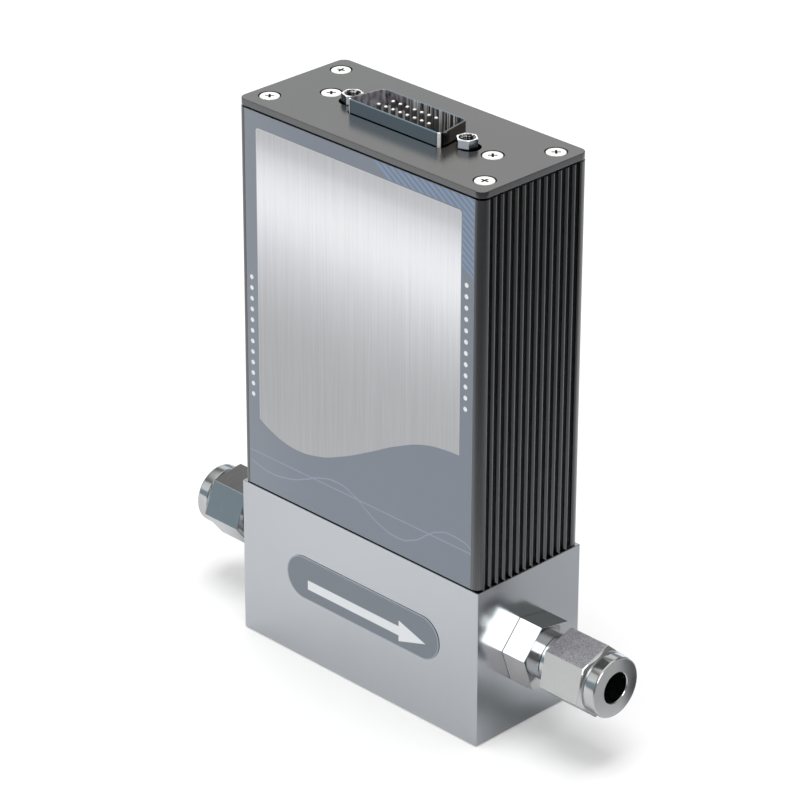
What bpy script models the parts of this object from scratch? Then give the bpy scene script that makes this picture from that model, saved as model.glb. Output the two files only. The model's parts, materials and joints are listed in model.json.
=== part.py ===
"""Gas mass flow meter: a steel flow block with two tube fittings, and its sensor and electronics in a ribbed housing.

Metres, +Z up. The origin is the centre of the block's underside, gas flows along +X and the front label faces -Y.
"""

import math

import bmesh
import bpy
from mathutils import Matrix

MM = 0.001

# Clearances between pieces
FACE_GAP = 0.05 * MM  # flat faces that seat on each other
FIT_GAP = 0.3 * MM  # shafts in bores, threads, and pieces in recesses

# Flow block
BLOCK_LENGTH = 72.0 * MM
BLOCK_DEPTH = 31.2 * MM
BLOCK_HEIGHT = 37.0 * MM
BLOCK_EDGE = 0.25 * MM
PORT_HEIGHT = 18.6 * MM  # gas passage above the underside
BORE_RADIUS = 5.0 * MM
SHOULDER_RADIUS = 4.0 * MM  # stops the laminar element at the outlet end
SHOULDER_LENGTH = 3.5 * MM
BYPASS_RADIUS = 0.8 * MM
BYPASS_SPACING = 20.0 * MM
FOOT_HOLE_RADIUS = 1.7 * MM  # tapped holes in the underside
FOOT_HOLE_DEPTH = 8.0 * MM
FOOT_HOLE_SPACING = 38.0 * MM

# Tube fittings, measured outwards from the block's end faces
STUB_RADIUS = 5.2 * MM
STUB_LENGTH = 9.2 * MM
HEX_ACROSS_FLATS = 14.29 * MM
HEX_LENGTH = 6.4 * MM
BODY_HEX_TURN = 49.0
NECK_RADIUS = 5.5 * MM
NECK_LENGTH = 11.0 * MM
NUT_START = 10.65 * MM
NUT_HEX_LENGTH = 11.15 * MM
INLET_NUT_TURN = 8.2
OUTLET_NUT_TURN = 18.4
COLLAR_RADIUS = 6.85 * MM
COLLAR_LENGTH = 3.35 * MM
COLLAR_EDGE = 0.3 * MM
TUBE_RADIUS = 3.175 * MM
NUT_BORE_CLEARANCE = 0.275 * MM  # round the tube
PASSAGE_RADIUS = 2.4 * MM
SOCKET_DEPTH = 9.0 * MM
FERRULE_LENGTH = 3.0 * MM
BACK_FERRULE_LENGTH = 2.0 * MM
SEAT_ANGLE = math.radians(20)
PORT_SEAL_SECTION = 1.8 * MM
PORT_UNDERCUT = 0.6 * MM

# Laminar flow element in the bore
ELEMENT_INLET_ROOM = 4.4 * MM  # between the inlet port and the retainer
ELEMENT_SLOTS = 12
ELEMENT_SLOT_WIDTH = 0.8 * MM
ELEMENT_SLOT_DEPTH = 1.5 * MM
ELEMENT_NECK_LENGTH = 3.0 * MM
RETAINER_LENGTH = 2.5 * MM
RETAINER_BORE = 2.6 * MM
SCREEN_THICKNESS = 0.7 * MM

# Thermal sensor on the block
SENSOR_DEPTH = 11.0 * MM
SENSOR_BASE_HEIGHT = 8.0 * MM
SENSOR_END_MARGIN = 2.5 * MM  # past the axes of its screws
SENSOR_SCREW_RADIUS = 1.2 * MM
SENSOR_SCREW_HEAD_RADIUS = 2.2 * MM
SENSOR_SCREW_HEAD_HEIGHT = 2.4 * MM
SENSOR_SCREW_DEPTH = 6.0 * MM
SENSOR_SCREW_MARGIN = 1.3 * MM  # between the screw heads and the cover
CAPILLARY_RADIUS = 0.5 * MM
CAPILLARY_BORE = 0.25 * MM
CAPILLARY_RISE = 8.0 * MM
CAPILLARY_BEND = 2.5 * MM
CAPILLARY_ENTRY = 4.0 * MM
WINDING_RADIUS = 1.3 * MM
WINDING_LENGTH = 5.0 * MM
WINDING_SPACING = 7.0 * MM
SENSOR_COVER_MARGIN = 3.0 * MM  # past the axes of the branch holes
SENSOR_COVER_WALL = 1.0 * MM
SENSOR_COVER_HEIGHT = 13.0 * MM
SEAL_SECTION = 0.9 * MM
SEAL_RADIUS = 1.6 * MM

# Housing: a ribbed extrusion, with flat front and back
JOINT_GAP = 0.4 * MM
HOUSING_INSET_X = 0.35 * MM
HOUSING_INSET_Y = 0.05 * MM
HOUSING_HEIGHT = 88.4 * MM
HOUSING_CORNER = 1.85 * MM
HOUSING_WALL = 1.8 * MM
HOUSING_END_WALL = 3.0 * MM
GROOVE_COUNT = 13
GROOVE_MARGIN = 2.95 * MM  # from the housing's front or back to the nearest groove's middle
GROOVE_WIDTH = 1.0 * MM
GROOVE_DEPTH = 1.4 * MM
GROOVE_LIP = 0.3 * MM
BOSS_SIZE = 2.4 * MM  # from a cover screw's axis to the side of its boss
BOSS_CORNER = 1.6 * MM
GUIDE_RIB = 1.0 * MM
GUIDE_RIB_REACH = 2.0 * MM
GASKET_INSET = 0.2 * MM
GASKET_WIDTH = 1.3 * MM

# Top plate and its screws
PLATE_THICKNESS = 1.5 * MM
PLATE_CORNER = 2.0 * MM
COVER_SCREW_INSET_X = 4.35 * MM  # from the housing's end
COVER_SCREW_INSET_Y = 5.15 * MM  # from the housing's front or back
COVER_SCREW_RADIUS = 1.2 * MM  # the studs of the posts have the same thread
COVER_SCREW_LENGTH = 5.5 * MM
COVER_HEAD_RADIUS = 2.15 * MM
COVER_HEAD_HEIGHT = 1.2 * MM
COUNTERSINK_MARGIN = 0.2 * MM
RECESS_DEPTH = 0.8 * MM
RECESS_REACH = 1.3 * MM
RECESS_WIDTH = 0.5 * MM
RECESS_TURNS = (20, 65, 40, 5, 75, 30)

# Fifteen-way connector, mounted from below
CONNECTOR_Y = -0.4 * MM
CONNECTOR_RISE = 3.1 * MM  # rim above the top plate
SHELL_HEIGHT = 5.9 * MM
SHELL_WIDTH = 26.0 * MM  # at mid depth, outside
SHELL_DEPTH = 9.6 * MM
SHELL_ANGLE = math.radians(10.5)
SHELL_CORNER = 1.3 * MM
SHELL_WALL = 0.45 * MM
SHELL_CLEARANCE = 0.35 * MM  # round the shell in the top plate
FLANGE_END = 2.94 * MM  # past the jack screws' axes
FLANGE_DEPTH = 12.6 * MM
FLANGE_THICKNESS = 0.5 * MM
FLANGE_CORNER = 1.5 * MM
INSULATOR_DROP = 4.0 * MM
INSULATOR_FACE = 0.35 * MM
PIN_RADIUS = 0.5 * MM
PIN_PITCH = 2.085 * MM
PIN_ROW_SPACING = 3.14 * MM
PIN_FRONT_COUNT = 8
PIN_RECESS = 0.2 * MM
PIN_TAIL = 2.2 * MM
JACK_OFFSET = 3.66 * MM  # from the shell's side to the jack screw's axis
JACK_ACROSS_FLATS = 4.2 * MM
JACK_HEIGHT = 4.75 * MM
JACK_HOLE_RADIUS = 2.8 * MM  # in the top plate
JACK_THREAD_RADIUS = 1.3 * MM
JACK_BORE_RADIUS = 1.3 * MM
JACK_BORE_DEPTH = 3.6 * MM
JACK_STUD_LENGTH = 4.2 * MM
JACK_NUT_ACROSS_FLATS = 4.8 * MM
JACK_NUT_HEIGHT = 1.6 * MM
INLET_JACK_TURN = -18.0
OUTLET_JACK_TURN = -38.0

# Boards and the posts that carry them
BOARD_THICKNESS = 1.6 * MM
CONNECTOR_BOARD_END = 4.5 * MM  # past the posts' axes
CONNECTOR_BOARD_SIDE = 1.2 * MM  # past the connector's flange
MAIN_BOARD_ROOM = 2.0 * MM  # above the sensor's cover
POST_ACROSS_FLATS = 5.0 * MM
POST_MARGIN = 1.0 * MM  # between a post and the connector's flange
POST_STUD_LENGTH = 5.5 * MM
POST_STUD_RISE = 1.0 * MM  # above the connector board
HEADER_LENGTH = 24.0 * MM
HEADER_DEPTH = 5.0 * MM
HEADER_HEIGHT = 6.0 * MM
PROCESSOR_SIDE = 10.0 * MM
PROCESSOR_HEIGHT = 1.4 * MM
REGULATOR_SIDE = 6.5 * MM
REGULATOR_HEIGHT = 2.3 * MM
CAPACITOR_RADIUS = 3.15 * MM
CAPACITOR_HEIGHT = 7.7 * MM
PART_ROW_SPACING = 15.0 * MM

# Labels
LABEL_THICKNESS = 0.15 * MM
FRONT_LABEL_INSET = 1.95 * MM  # from the housing's ends
FLOW_LABEL_WIDTH = 46.6 * MM
FLOW_LABEL_HEIGHT = 10.4 * MM
FLOW_LABEL_X = 1.5 * MM
FLOW_LABEL_Z = 20.2 * MM

ROUND_STEPS = 28
MIDDLE_STEPS = 16
SMALL_STEPS = 12
ARC_STEPS = 4

# Levels and places that follow from the sizes above
HOUSING_LOW = BLOCK_HEIGHT + JOINT_GAP
HOUSING_HIGH = HOUSING_LOW + HOUSING_HEIGHT
PLATE_LOW = HOUSING_HIGH + JOINT_GAP
PLATE_HIGH = PLATE_LOW + PLATE_THICKNESS
HOUSING_HALF_X = BLOCK_LENGTH / 2 - HOUSING_INSET_X
HOUSING_HALF_Y = BLOCK_DEPTH / 2 - HOUSING_INSET_Y
CAVITY_HALF_X = HOUSING_HALF_X - HOUSING_END_WALL
CAVITY_HALF_Y = HOUSING_HALF_Y - HOUSING_WALL
GROOVE_PITCH = 2 * (HOUSING_HALF_Y - GROOVE_MARGIN) / (GROOVE_COUNT - 1)
LABEL_HALF_X = HOUSING_HALF_X - FRONT_LABEL_INSET
COVER_SCREW_X = HOUSING_HALF_X - COVER_SCREW_INSET_X
COVER_SCREW_Y = HOUSING_HALF_Y - COVER_SCREW_INSET_Y
JACK_X = SHELL_WIDTH / 2 + JACK_OFFSET
FLANGE_LENGTH = 2 * (JACK_X + FLANGE_END)
POST_X = FLANGE_LENGTH / 2 + POST_MARGIN + POST_ACROSS_FLATS / math.sqrt(3)
BRANCH_X = BYPASS_SPACING / 2
SENSOR_COVER_LENGTH = 2 * (BRANCH_X + SENSOR_COVER_MARGIN)
SENSOR_SCREW_X = SENSOR_COVER_LENGTH / 2 + SENSOR_SCREW_MARGIN + SENSOR_SCREW_HEAD_RADIUS
RIM_HIGH = PLATE_HIGH + CONNECTOR_RISE
FLANGE_HIGH = RIM_HIGH - SHELL_HEIGHT
FLANGE_LOW = FLANGE_HIGH - FLANGE_THICKNESS
CONNECTOR_BOARD_HIGH = FLANGE_LOW - INSULATOR_DROP - 2 * FACE_GAP - FLANGE_THICKNESS
CONNECTOR_BOARD_LOW = CONNECTOR_BOARD_HIGH - BOARD_THICKNESS
SENSOR_BASE_LOW = BLOCK_HEIGHT + FACE_GAP
SENSOR_BASE_HIGH = SENSOR_BASE_LOW + SENSOR_BASE_HEIGHT
SENSOR_COVER_LOW = SENSOR_BASE_HIGH + FACE_GAP
SENSOR_COVER_HIGH = SENSOR_COVER_LOW + SENSOR_COVER_HEIGHT
SLOT_WIDTH = BOARD_THICKNESS + 2 * FIT_GAP
BOARD_Y = COVER_SCREW_Y - BOSS_SIZE - SLOT_WIDTH / 2
BOARD_FRONT = BOARD_Y - BOARD_THICKNESS / 2
ELEMENT_RADIUS = BORE_RADIUS - FIT_GAP
PORT_RADIUS = STUB_RADIUS + FIT_GAP
PORT_DEPTH = STUB_LENGTH + SCREEN_THICKNESS + 2 * FIT_GAP
SEAL_POCKET_RADIUS = STUB_RADIUS - PORT_UNDERCUT + PORT_SEAL_SECTION + 2 * FIT_GAP
SEAL_POCKET_DEPTH = PORT_SEAL_SECTION + FIT_GAP


def circle(radius, steps=ROUND_STEPS, centre=(0.0, 0.0)):
    """Points of a full circle in the plane."""
    turns = [math.tau * step / steps for step in range(steps)]
    return [(centre[0] + radius * math.cos(a), centre[1] + radius * math.sin(a)) for a in turns]


def hexagon(across_flats, turn=0.0, centre=(0.0, 0.0)):
    """Corners of a regular hexagon, the first at the given angle in degrees."""
    radius = across_flats / math.sqrt(3)
    corners = [math.radians(turn + 60 * side) for side in range(6)]
    return [(centre[0] + radius * math.cos(a), centre[1] + radius * math.sin(a)) for a in corners]


def arc(centre, radius, start, end, steps=ARC_STEPS, height=None):
    """Points of an arc between two angles in degrees; a height makes it an ellipse along X."""
    height = radius if height is None else height
    turns = [math.radians(start + (end - start) * step / steps) for step in range(steps + 1)]
    return [(centre[0] + height * math.cos(a), centre[1] + radius * math.sin(a)) for a in turns]


def rounded(corners, radius, steps=ARC_STEPS):
    """Outline through the corners of a convex polygon, counter-clockwise, with each corner rounded."""
    outline = []
    for index, corner in enumerate(corners):
        before = corners[index - 1]
        after = corners[(index + 1) % len(corners)]
        incoming = math.atan2(corner[1] - before[1], corner[0] - before[0])
        outgoing = math.atan2(after[1] - corner[1], after[0] - corner[0])
        turn = (outgoing - incoming) % math.tau
        reach = radius * math.tan(turn / 2)
        start = (corner[0] - reach * math.cos(incoming), corner[1] - reach * math.sin(incoming))
        centre = (start[0] - radius * math.sin(incoming), start[1] + radius * math.cos(incoming))
        first = math.degrees(incoming) - 90
        outline += arc(centre, radius, first, first + math.degrees(turn), steps)
    return outline


def rectangle(width, height, radius, centre=(0.0, 0.0), steps=ARC_STEPS):
    """Outline of a rectangle with rounded corners."""
    x, y = width / 2, height / 2
    corners = [(-x, -y), (x, -y), (x, y), (-x, y)]
    return rounded([(centre[0] + u, centre[1] + v) for u, v in corners], radius, steps)


def shell_outline(grow):
    """The connector's D outline, wide at the front, moved outwards by the given distance."""
    half_depth = SHELL_DEPTH / 2 + grow
    half_width = SHELL_WIDTH / 2 + grow / math.cos(SHELL_ANGLE)
    slope = half_depth * math.tan(SHELL_ANGLE)
    front, back = half_width + slope, half_width - slope
    low, high = CONNECTOR_Y - half_depth, CONNECTOR_Y + half_depth
    return rounded([(-front, low), (front, low), (back, high), (-back, high)], SHELL_CORNER + grow)


def prism(outlines, low, high):
    """Solid between two heights, from an outer outline and the outlines of its holes."""
    bm = bmesh.new()
    edges = []
    for outline in outlines:
        verts = [bm.verts.new((x, y, low)) for x, y in outline]
        edges += [bm.edges.new((verts[index - 1], verts[index])) for index in range(len(verts))]
    filled = bmesh.ops.triangle_fill(bm, use_beauty=True, edges=edges)["geom"]
    faces = [item for item in filled if isinstance(item, bmesh.types.BMFace)]
    extruded = bmesh.ops.extrude_face_region(bm, geom=faces)["geom"]
    top = [item for item in extruded if isinstance(item, bmesh.types.BMVert)]
    bmesh.ops.translate(bm, verts=top, vec=(0, 0, high - low))
    bmesh.ops.recalc_face_normals(bm, faces=bm.faces)
    return bm


def turned(profile, steps=ROUND_STEPS):
    """Solid turned about Z from (radius, height) points; it is closed along the axis if both ends lie on it."""
    bm = bmesh.new()
    verts = [bm.verts.new((radius, 0, height)) for radius, height in profile]
    on_axis = profile[0][0] == 0 and profile[-1][0] == 0
    first = 1 if on_axis else 0
    edges = [bm.edges.new((verts[index - 1], verts[index])) for index in range(first, len(verts))]
    bmesh.ops.spin(bm, geom=verts + edges, axis=(0, 0, 1), angle=math.tau, steps=steps, use_merge=True)
    bmesh.ops.remove_doubles(bm, verts=bm.verts, dist=1e-8)
    bmesh.ops.recalc_face_normals(bm, faces=bm.faces)
    return bm


def lofted(rings):
    """Solid whose rings of equal count follow each other round and back to the first, as a bent pipe's do."""
    bm = bmesh.new()
    loops = [[bm.verts.new(point) for point in ring] for ring in rings]
    for index, loop in enumerate(loops):
        before = loops[index - 1]
        for side, vert in enumerate(loop):
            bm.faces.new((before[side - 1], before[side], vert, loop[side - 1]))
    bmesh.ops.recalc_face_normals(bm, faces=bm.faces)
    return bm


def combined(solids):
    """One bmesh that holds several solids which don't touch, such as a set of cutters."""
    bm = bmesh.new()
    for solid in solids:
        mesh = bpy.data.meshes.new("part_of_set")
        solid.to_mesh(mesh)
        solid.free()
        bm.from_mesh(mesh)
        bpy.data.meshes.remove(mesh)
    return bm


def moved(bm, x=0.0, y=0.0, z=0.0):
    """The same solid, shifted."""
    bmesh.ops.translate(bm, verts=bm.verts, vec=(x, y, z))
    return bm


def material(name, colour, roughness, metallic):
    """A plain Principled material."""
    made = bpy.data.materials.get(name)
    if made is None:
        made = bpy.data.materials.new(name)
        made.use_nodes = True
        shader = made.node_tree.nodes["Principled BSDF"]
        shader.inputs["Base Color"].default_value = (*colour, 1.0)
        shader.inputs["Roughness"].default_value = roughness
        shader.inputs["Metallic"].default_value = metallic
        made.diffuse_color = (*colour, 1.0)
    return made


def steel():
    """Machined stainless steel."""
    return material("stainless_steel", (0.56, 0.57, 0.58), 0.28, 1.0)


def plated():
    """Bright plated steel of screws and the connector."""
    return material("bright_plating", (0.72, 0.73, 0.74), 0.15, 1.0)


def anodised():
    """Dark grey anodised aluminium."""
    return material("dark_anodised", (0.055, 0.057, 0.06), 0.35, 0.8)


def rubber():
    """Black seal rubber."""
    return material("black_rubber", (0.01, 0.01, 0.01), 0.7, 0.0)


def plastic():
    """Black moulding and chip plastic."""
    return material("black_plastic", (0.02, 0.02, 0.022), 0.45, 0.0)


def circuit_green():
    """Circuit board laminate."""
    return material("circuit_green", (0.02, 0.14, 0.06), 0.4, 0.0)


def piece(name, bm, finish, place=None, smooth=True):
    """Makes a bmesh into a named object of the assembly, at the given matrix."""
    mesh = bpy.data.meshes.new(name)
    bm.to_mesh(mesh)
    bm.free()
    mesh.materials.append(finish)
    if smooth:
        mesh.shade_smooth()
        mesh.set_sharp_from_angle(angle=math.radians(35))
    made = bpy.data.objects.new(name, mesh)
    bpy.context.scene.collection.objects.link(made)
    made.parent = bpy.data.objects["mass_flow_meter"]
    if place is not None:
        made.matrix_local = place
    return made


def boolean(target, name, bm, operation="DIFFERENCE"):
    """Cuts a solid from an object, or joins one to it, with a Boolean modifier and a hidden helper."""
    helper = piece(name, bm, rubber(), smooth=False)
    helper.parent = target
    helper.hide_render = True
    helper.display_type = "WIRE"
    modifier = target.modifiers.new(name, "BOOLEAN")
    modifier.operation = operation
    modifier.solver = "EXACT"
    modifier.object = helper


def bevelled(target, width, segments=1):
    """Breaks an object's sharp edges."""
    modifier = target.modifiers.new("edge_break", "BEVEL")
    modifier.width = width
    modifier.segments = segments
    modifier.limit_method = "ANGLE"
    modifier.angle_limit = math.radians(50)


def mirrored_pair(x, y=0.0):
    """The two places at plus and minus x."""
    return [("inlet", -x, y), ("outlet", x, y)]


def gas_passage():
    """Cutter for the block's ports, the seal pockets and the bore with its shoulder, along X."""
    half = BLOCK_LENGTH / 2
    beyond = half + FIT_GAP
    pocket = half - SEAL_POCKET_DEPTH
    port = half - PORT_DEPTH
    shoulder = port - SHOULDER_LENGTH
    profile = [
        (0, -beyond),
        (SEAL_POCKET_RADIUS, -beyond),
        (SEAL_POCKET_RADIUS, -pocket),
        (PORT_RADIUS, -pocket),
        (PORT_RADIUS, -port),
        (BORE_RADIUS, -port),
        (BORE_RADIUS, shoulder),
        (SHOULDER_RADIUS, shoulder),
        (SHOULDER_RADIUS, port),
        (PORT_RADIUS, port),
        (PORT_RADIUS, pocket),
        (SEAL_POCKET_RADIUS, pocket),
        (SEAL_POCKET_RADIUS, beyond),
        (0, beyond),
    ]
    bm = turned(profile)
    bmesh.ops.rotate(bm, verts=bm.verts, matrix=Matrix.Rotation(math.pi / 2, 3, "Y"))
    return moved(bm, z=PORT_HEIGHT)


def hole(radius, low, high, x, y=0.0):
    """Upright round cutter."""
    return prism([circle(radius, SMALL_STEPS, (x, y))], low, high)


def add_flow_block():
    """Steel block with the gas passage, the sensor's branch holes and the tapped holes."""
    outline = rectangle(BLOCK_LENGTH, BLOCK_DEPTH, BLOCK_EDGE, steps=1)
    block = piece("flow_block", prism([outline], 0.0, BLOCK_HEIGHT), steel())
    bevelled(block, BLOCK_EDGE)
    boolean(block, "gas_passage", gas_passage())
    above = BLOCK_HEIGHT + FIT_GAP
    cutters = []
    for _, x, y in mirrored_pair(BRANCH_X):
        cutters.append(hole(BYPASS_RADIUS, PORT_HEIGHT, above, x, y))
    boolean(block, "branch_holes", combined(cutters))
    cutters = []
    for _, x, y in mirrored_pair(BRANCH_X):
        pocket = BLOCK_HEIGHT - SEAL_SECTION - FIT_GAP
        cutters.append(hole(SEAL_RADIUS + SEAL_SECTION / 2 + FIT_GAP, pocket, above, x, y))
    for _, x, y in mirrored_pair(SENSOR_SCREW_X):
        bottom = BLOCK_HEIGHT - SENSOR_SCREW_DEPTH - FIT_GAP
        cutters.append(hole(SENSOR_SCREW_RADIUS + FIT_GAP, bottom, above, x, y))
    for _, x, y in mirrored_pair(POST_X):
        bottom = BLOCK_HEIGHT - POST_STUD_LENGTH - FIT_GAP
        cutters.append(hole(COVER_SCREW_RADIUS + FIT_GAP, bottom, above, x, y))
    for _, x, y in mirrored_pair(FOOT_HOLE_SPACING / 2):
        cutters.append(hole(FOOT_HOLE_RADIUS, -FIT_GAP, FOOT_HOLE_DEPTH, x, y))
    boolean(block, "tapped_holes", combined(cutters))


def port_frame(side):
    """Matrix that stands a fitting on the block's inlet or outlet face, its local Z pointing outwards."""
    sign = 1 if side == "outlet" else -1
    place = Matrix.Translation((sign * BLOCK_LENGTH / 2, 0, PORT_HEIGHT))
    return place @ Matrix.Rotation(sign * math.pi / 2, 4, "Y")


def hex_turn(side, turn):
    """Angle of a hexagon in the fitting's own frame, from its angle seen along the gas passage."""
    return 90 + turn if side == "outlet" else 90 - turn


def add_fitting(side, nut_turn):
    """One compression fitting: body, port seal, two ferrules and nut."""
    place = port_frame(side)
    neck_end = HEX_LENGTH + NECK_LENGTH
    socket = neck_end - SOCKET_DEPTH
    seat_radius = TUBE_RADIUS + FIT_GAP + FERRULE_LENGTH * math.tan(SEAT_ANGLE)
    seat_start = neck_end - FERRULE_LENGTH
    undercut = STUB_RADIUS - PORT_UNDERCUT
    body_profile = [
        (PASSAGE_RADIUS, -STUB_LENGTH),
        (STUB_RADIUS - PORT_UNDERCUT, -STUB_LENGTH),
        (STUB_RADIUS, -STUB_LENGTH + PORT_UNDERCUT),
        (STUB_RADIUS, -SEAL_POCKET_DEPTH),
        (undercut, -SEAL_POCKET_DEPTH),
        (undercut, HEX_LENGTH / 2),
        (NECK_RADIUS, HEX_LENGTH / 2),
        (NECK_RADIUS, neck_end),
        (seat_radius, neck_end),
        (TUBE_RADIUS + FIT_GAP, seat_start),
        (TUBE_RADIUS + FIT_GAP, socket),
        (PASSAGE_RADIUS, socket),
    ]
    body = piece(f"{side}_fitting_body", turned(body_profile), steel(), place)
    middle = (undercut + PASSAGE_RADIUS) / 2
    body_hex = [hexagon(HEX_ACROSS_FLATS, hex_turn(side, BODY_HEX_TURN)), circle(middle, ROUND_STEPS)]
    boolean(body, f"{side}_body_hex", prism(body_hex, FACE_GAP, HEX_LENGTH), "UNION")

    ring_radius = undercut + FIT_GAP + PORT_SEAL_SECTION / 2
    ring_height = -FACE_GAP - FIT_GAP / 2 - PORT_SEAL_SECTION / 2
    ring = [(ring_radius + u, ring_height + v) for u, v in circle(PORT_SEAL_SECTION / 2, 6)]
    piece(f"{side}_port_seal", turned(ring, MIDDLE_STEPS), rubber(), place)

    front_tip = seat_start + FIT_GAP / math.tan(SEAT_ANGLE)
    front_end = neck_end + FIT_GAP
    inside = TUBE_RADIUS + FACE_GAP
    slope = math.tan(SEAT_ANGLE)
    front_radius = inside + (front_end - front_tip) * slope
    front = [(inside, front_tip), (front_radius, front_end), (inside, front_end)]
    piece(f"{side}_front_ferrule", turned(front, MIDDLE_STEPS), steel(), place)
    back_start = front_end + FACE_GAP
    back_end = back_start + BACK_FERRULE_LENGTH
    back_radius = front_radius + FIT_GAP
    back = [(inside, back_start), (front_radius, back_start), (back_radius, back_end), (inside, back_end)]
    piece(f"{side}_back_ferrule", turned(back, MIDDLE_STEPS), steel(), place)

    hex_end = NUT_START + NUT_HEX_LENGTH
    face = hex_end + COLLAR_LENGTH
    thread = NECK_RADIUS + FIT_GAP
    core = (thread + HEX_ACROSS_FLATS / 2) / 2
    core_start = NUT_START + NUT_HEX_LENGTH / 2
    nut_bore = TUBE_RADIUS + NUT_BORE_CLEARANCE
    cup_end = max(neck_end, back_end) + FIT_GAP
    thread_end = neck_end + FIT_GAP
    nut_profile = [
        (thread, core_start),
        (core, core_start),
        (core, hex_end - COLLAR_EDGE),
        (COLLAR_RADIUS, hex_end - COLLAR_EDGE),
        (COLLAR_RADIUS, face - COLLAR_EDGE),
        (COLLAR_RADIUS - COLLAR_EDGE, face),
        (nut_bore + COLLAR_EDGE, face),
        (nut_bore, face - COLLAR_EDGE),
        (nut_bore, cup_end),
        (back_radius + FIT_GAP, cup_end),
        (back_radius + FIT_GAP, thread_end),
        (thread, thread_end),
    ]
    nut = piece(f"{side}_fitting_nut", turned(nut_profile), steel(), place)
    nut_hex = [hexagon(HEX_ACROSS_FLATS, hex_turn(side, nut_turn)), circle(thread, ROUND_STEPS)]
    boolean(nut, f"{side}_nut_hex", prism(nut_hex, NUT_START, hex_end), "UNION")


def add_flow_element():
    """Slotted laminar element in the bore, the ring that holds it, and the inlet's sintered screen."""
    along = Matrix.Translation((0, 0, PORT_HEIGHT)) @ Matrix.Rotation(math.pi / 2, 4, "Y")
    end = BLOCK_LENGTH / 2 - PORT_DEPTH - SHOULDER_LENGTH - FIT_GAP
    retainer_start = PORT_DEPTH - BLOCK_LENGTH / 2 + ELEMENT_INLET_ROOM
    retainer_end = retainer_start + RETAINER_LENGTH
    start = retainer_end + FIT_GAP
    root = ELEMENT_RADIUS - ELEMENT_SLOT_DEPTH
    half_angle = math.asin(ELEMENT_SLOT_WIDTH / 2 / ELEMENT_RADIUS)
    outline = []
    for slot in range(ELEMENT_SLOTS):
        middle = math.tau * slot / ELEMENT_SLOTS
        following = math.tau * (slot + 1) / ELEMENT_SLOTS
        corners = [(root, middle - half_angle), (root, middle + half_angle)]
        corners += [(ELEMENT_RADIUS, middle + half_angle), (ELEMENT_RADIUS, (middle + following) / 2)]
        corners += [(ELEMENT_RADIUS, following - half_angle)]
        outline += [(radius * math.cos(angle), radius * math.sin(angle)) for radius, angle in corners]
    element = piece("laminar_flow_element", prism([outline], start, end), steel(), along)
    groove = ELEMENT_NECK_LENGTH / 2
    rings = []
    for _, x, _ in mirrored_pair(BRANCH_X):
        section = [(root, x - groove), (BORE_RADIUS, x - groove), (BORE_RADIUS, x + groove), (root, x + groove)]
        rings.append(turned(section, MIDDLE_STEPS))
    boolean(element, "element_feed_grooves", combined(rings))

    section = [
        (RETAINER_BORE, retainer_start),
        (ELEMENT_RADIUS, retainer_start),
        (ELEMENT_RADIUS, retainer_end),
        (RETAINER_BORE, retainer_end),
    ]
    piece("element_retainer", turned(section, MIDDLE_STEPS), steel(), along)

    screen_low = -BLOCK_LENGTH / 2 + STUB_LENGTH + FIT_GAP
    screen = prism([circle(STUB_RADIUS, MIDDLE_STEPS)], screen_low, screen_low + SCREEN_THICKNESS)
    piece("inlet_screen", screen, steel(), along)


def sensor_tube_path():
    """Stations of the capillary: points of its centre line in X and Z with the direction of travel there."""
    half = BRANCH_X
    low = SENSOR_BASE_HIGH - CAPILLARY_ENTRY
    bend_low = SENSOR_BASE_HIGH + CAPILLARY_RISE - CAPILLARY_BEND
    stations = [(-half, low, 90.0)]
    for step in range(ARC_STEPS + 1):
        angle = math.radians(180 - 90 * step / ARC_STEPS)
        x = -half + CAPILLARY_BEND + CAPILLARY_BEND * math.cos(angle)
        stations.append((x, bend_low + CAPILLARY_BEND * math.sin(angle), 90.0 - 90 * step / ARC_STEPS))
    mirrored = [(-x, z, -heading) for x, z, heading in reversed(stations)]
    return stations + mirrored


def tube_ring(station, radius, steps=8):
    """Ring of points square to the capillary's path at one station."""
    x, z, heading = station
    normal = math.radians(heading + 90)
    ring = []
    for across, depth in circle(radius, steps):
        ring.append((x + across * math.cos(normal), depth, z + across * math.sin(normal)))
    return ring


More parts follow.
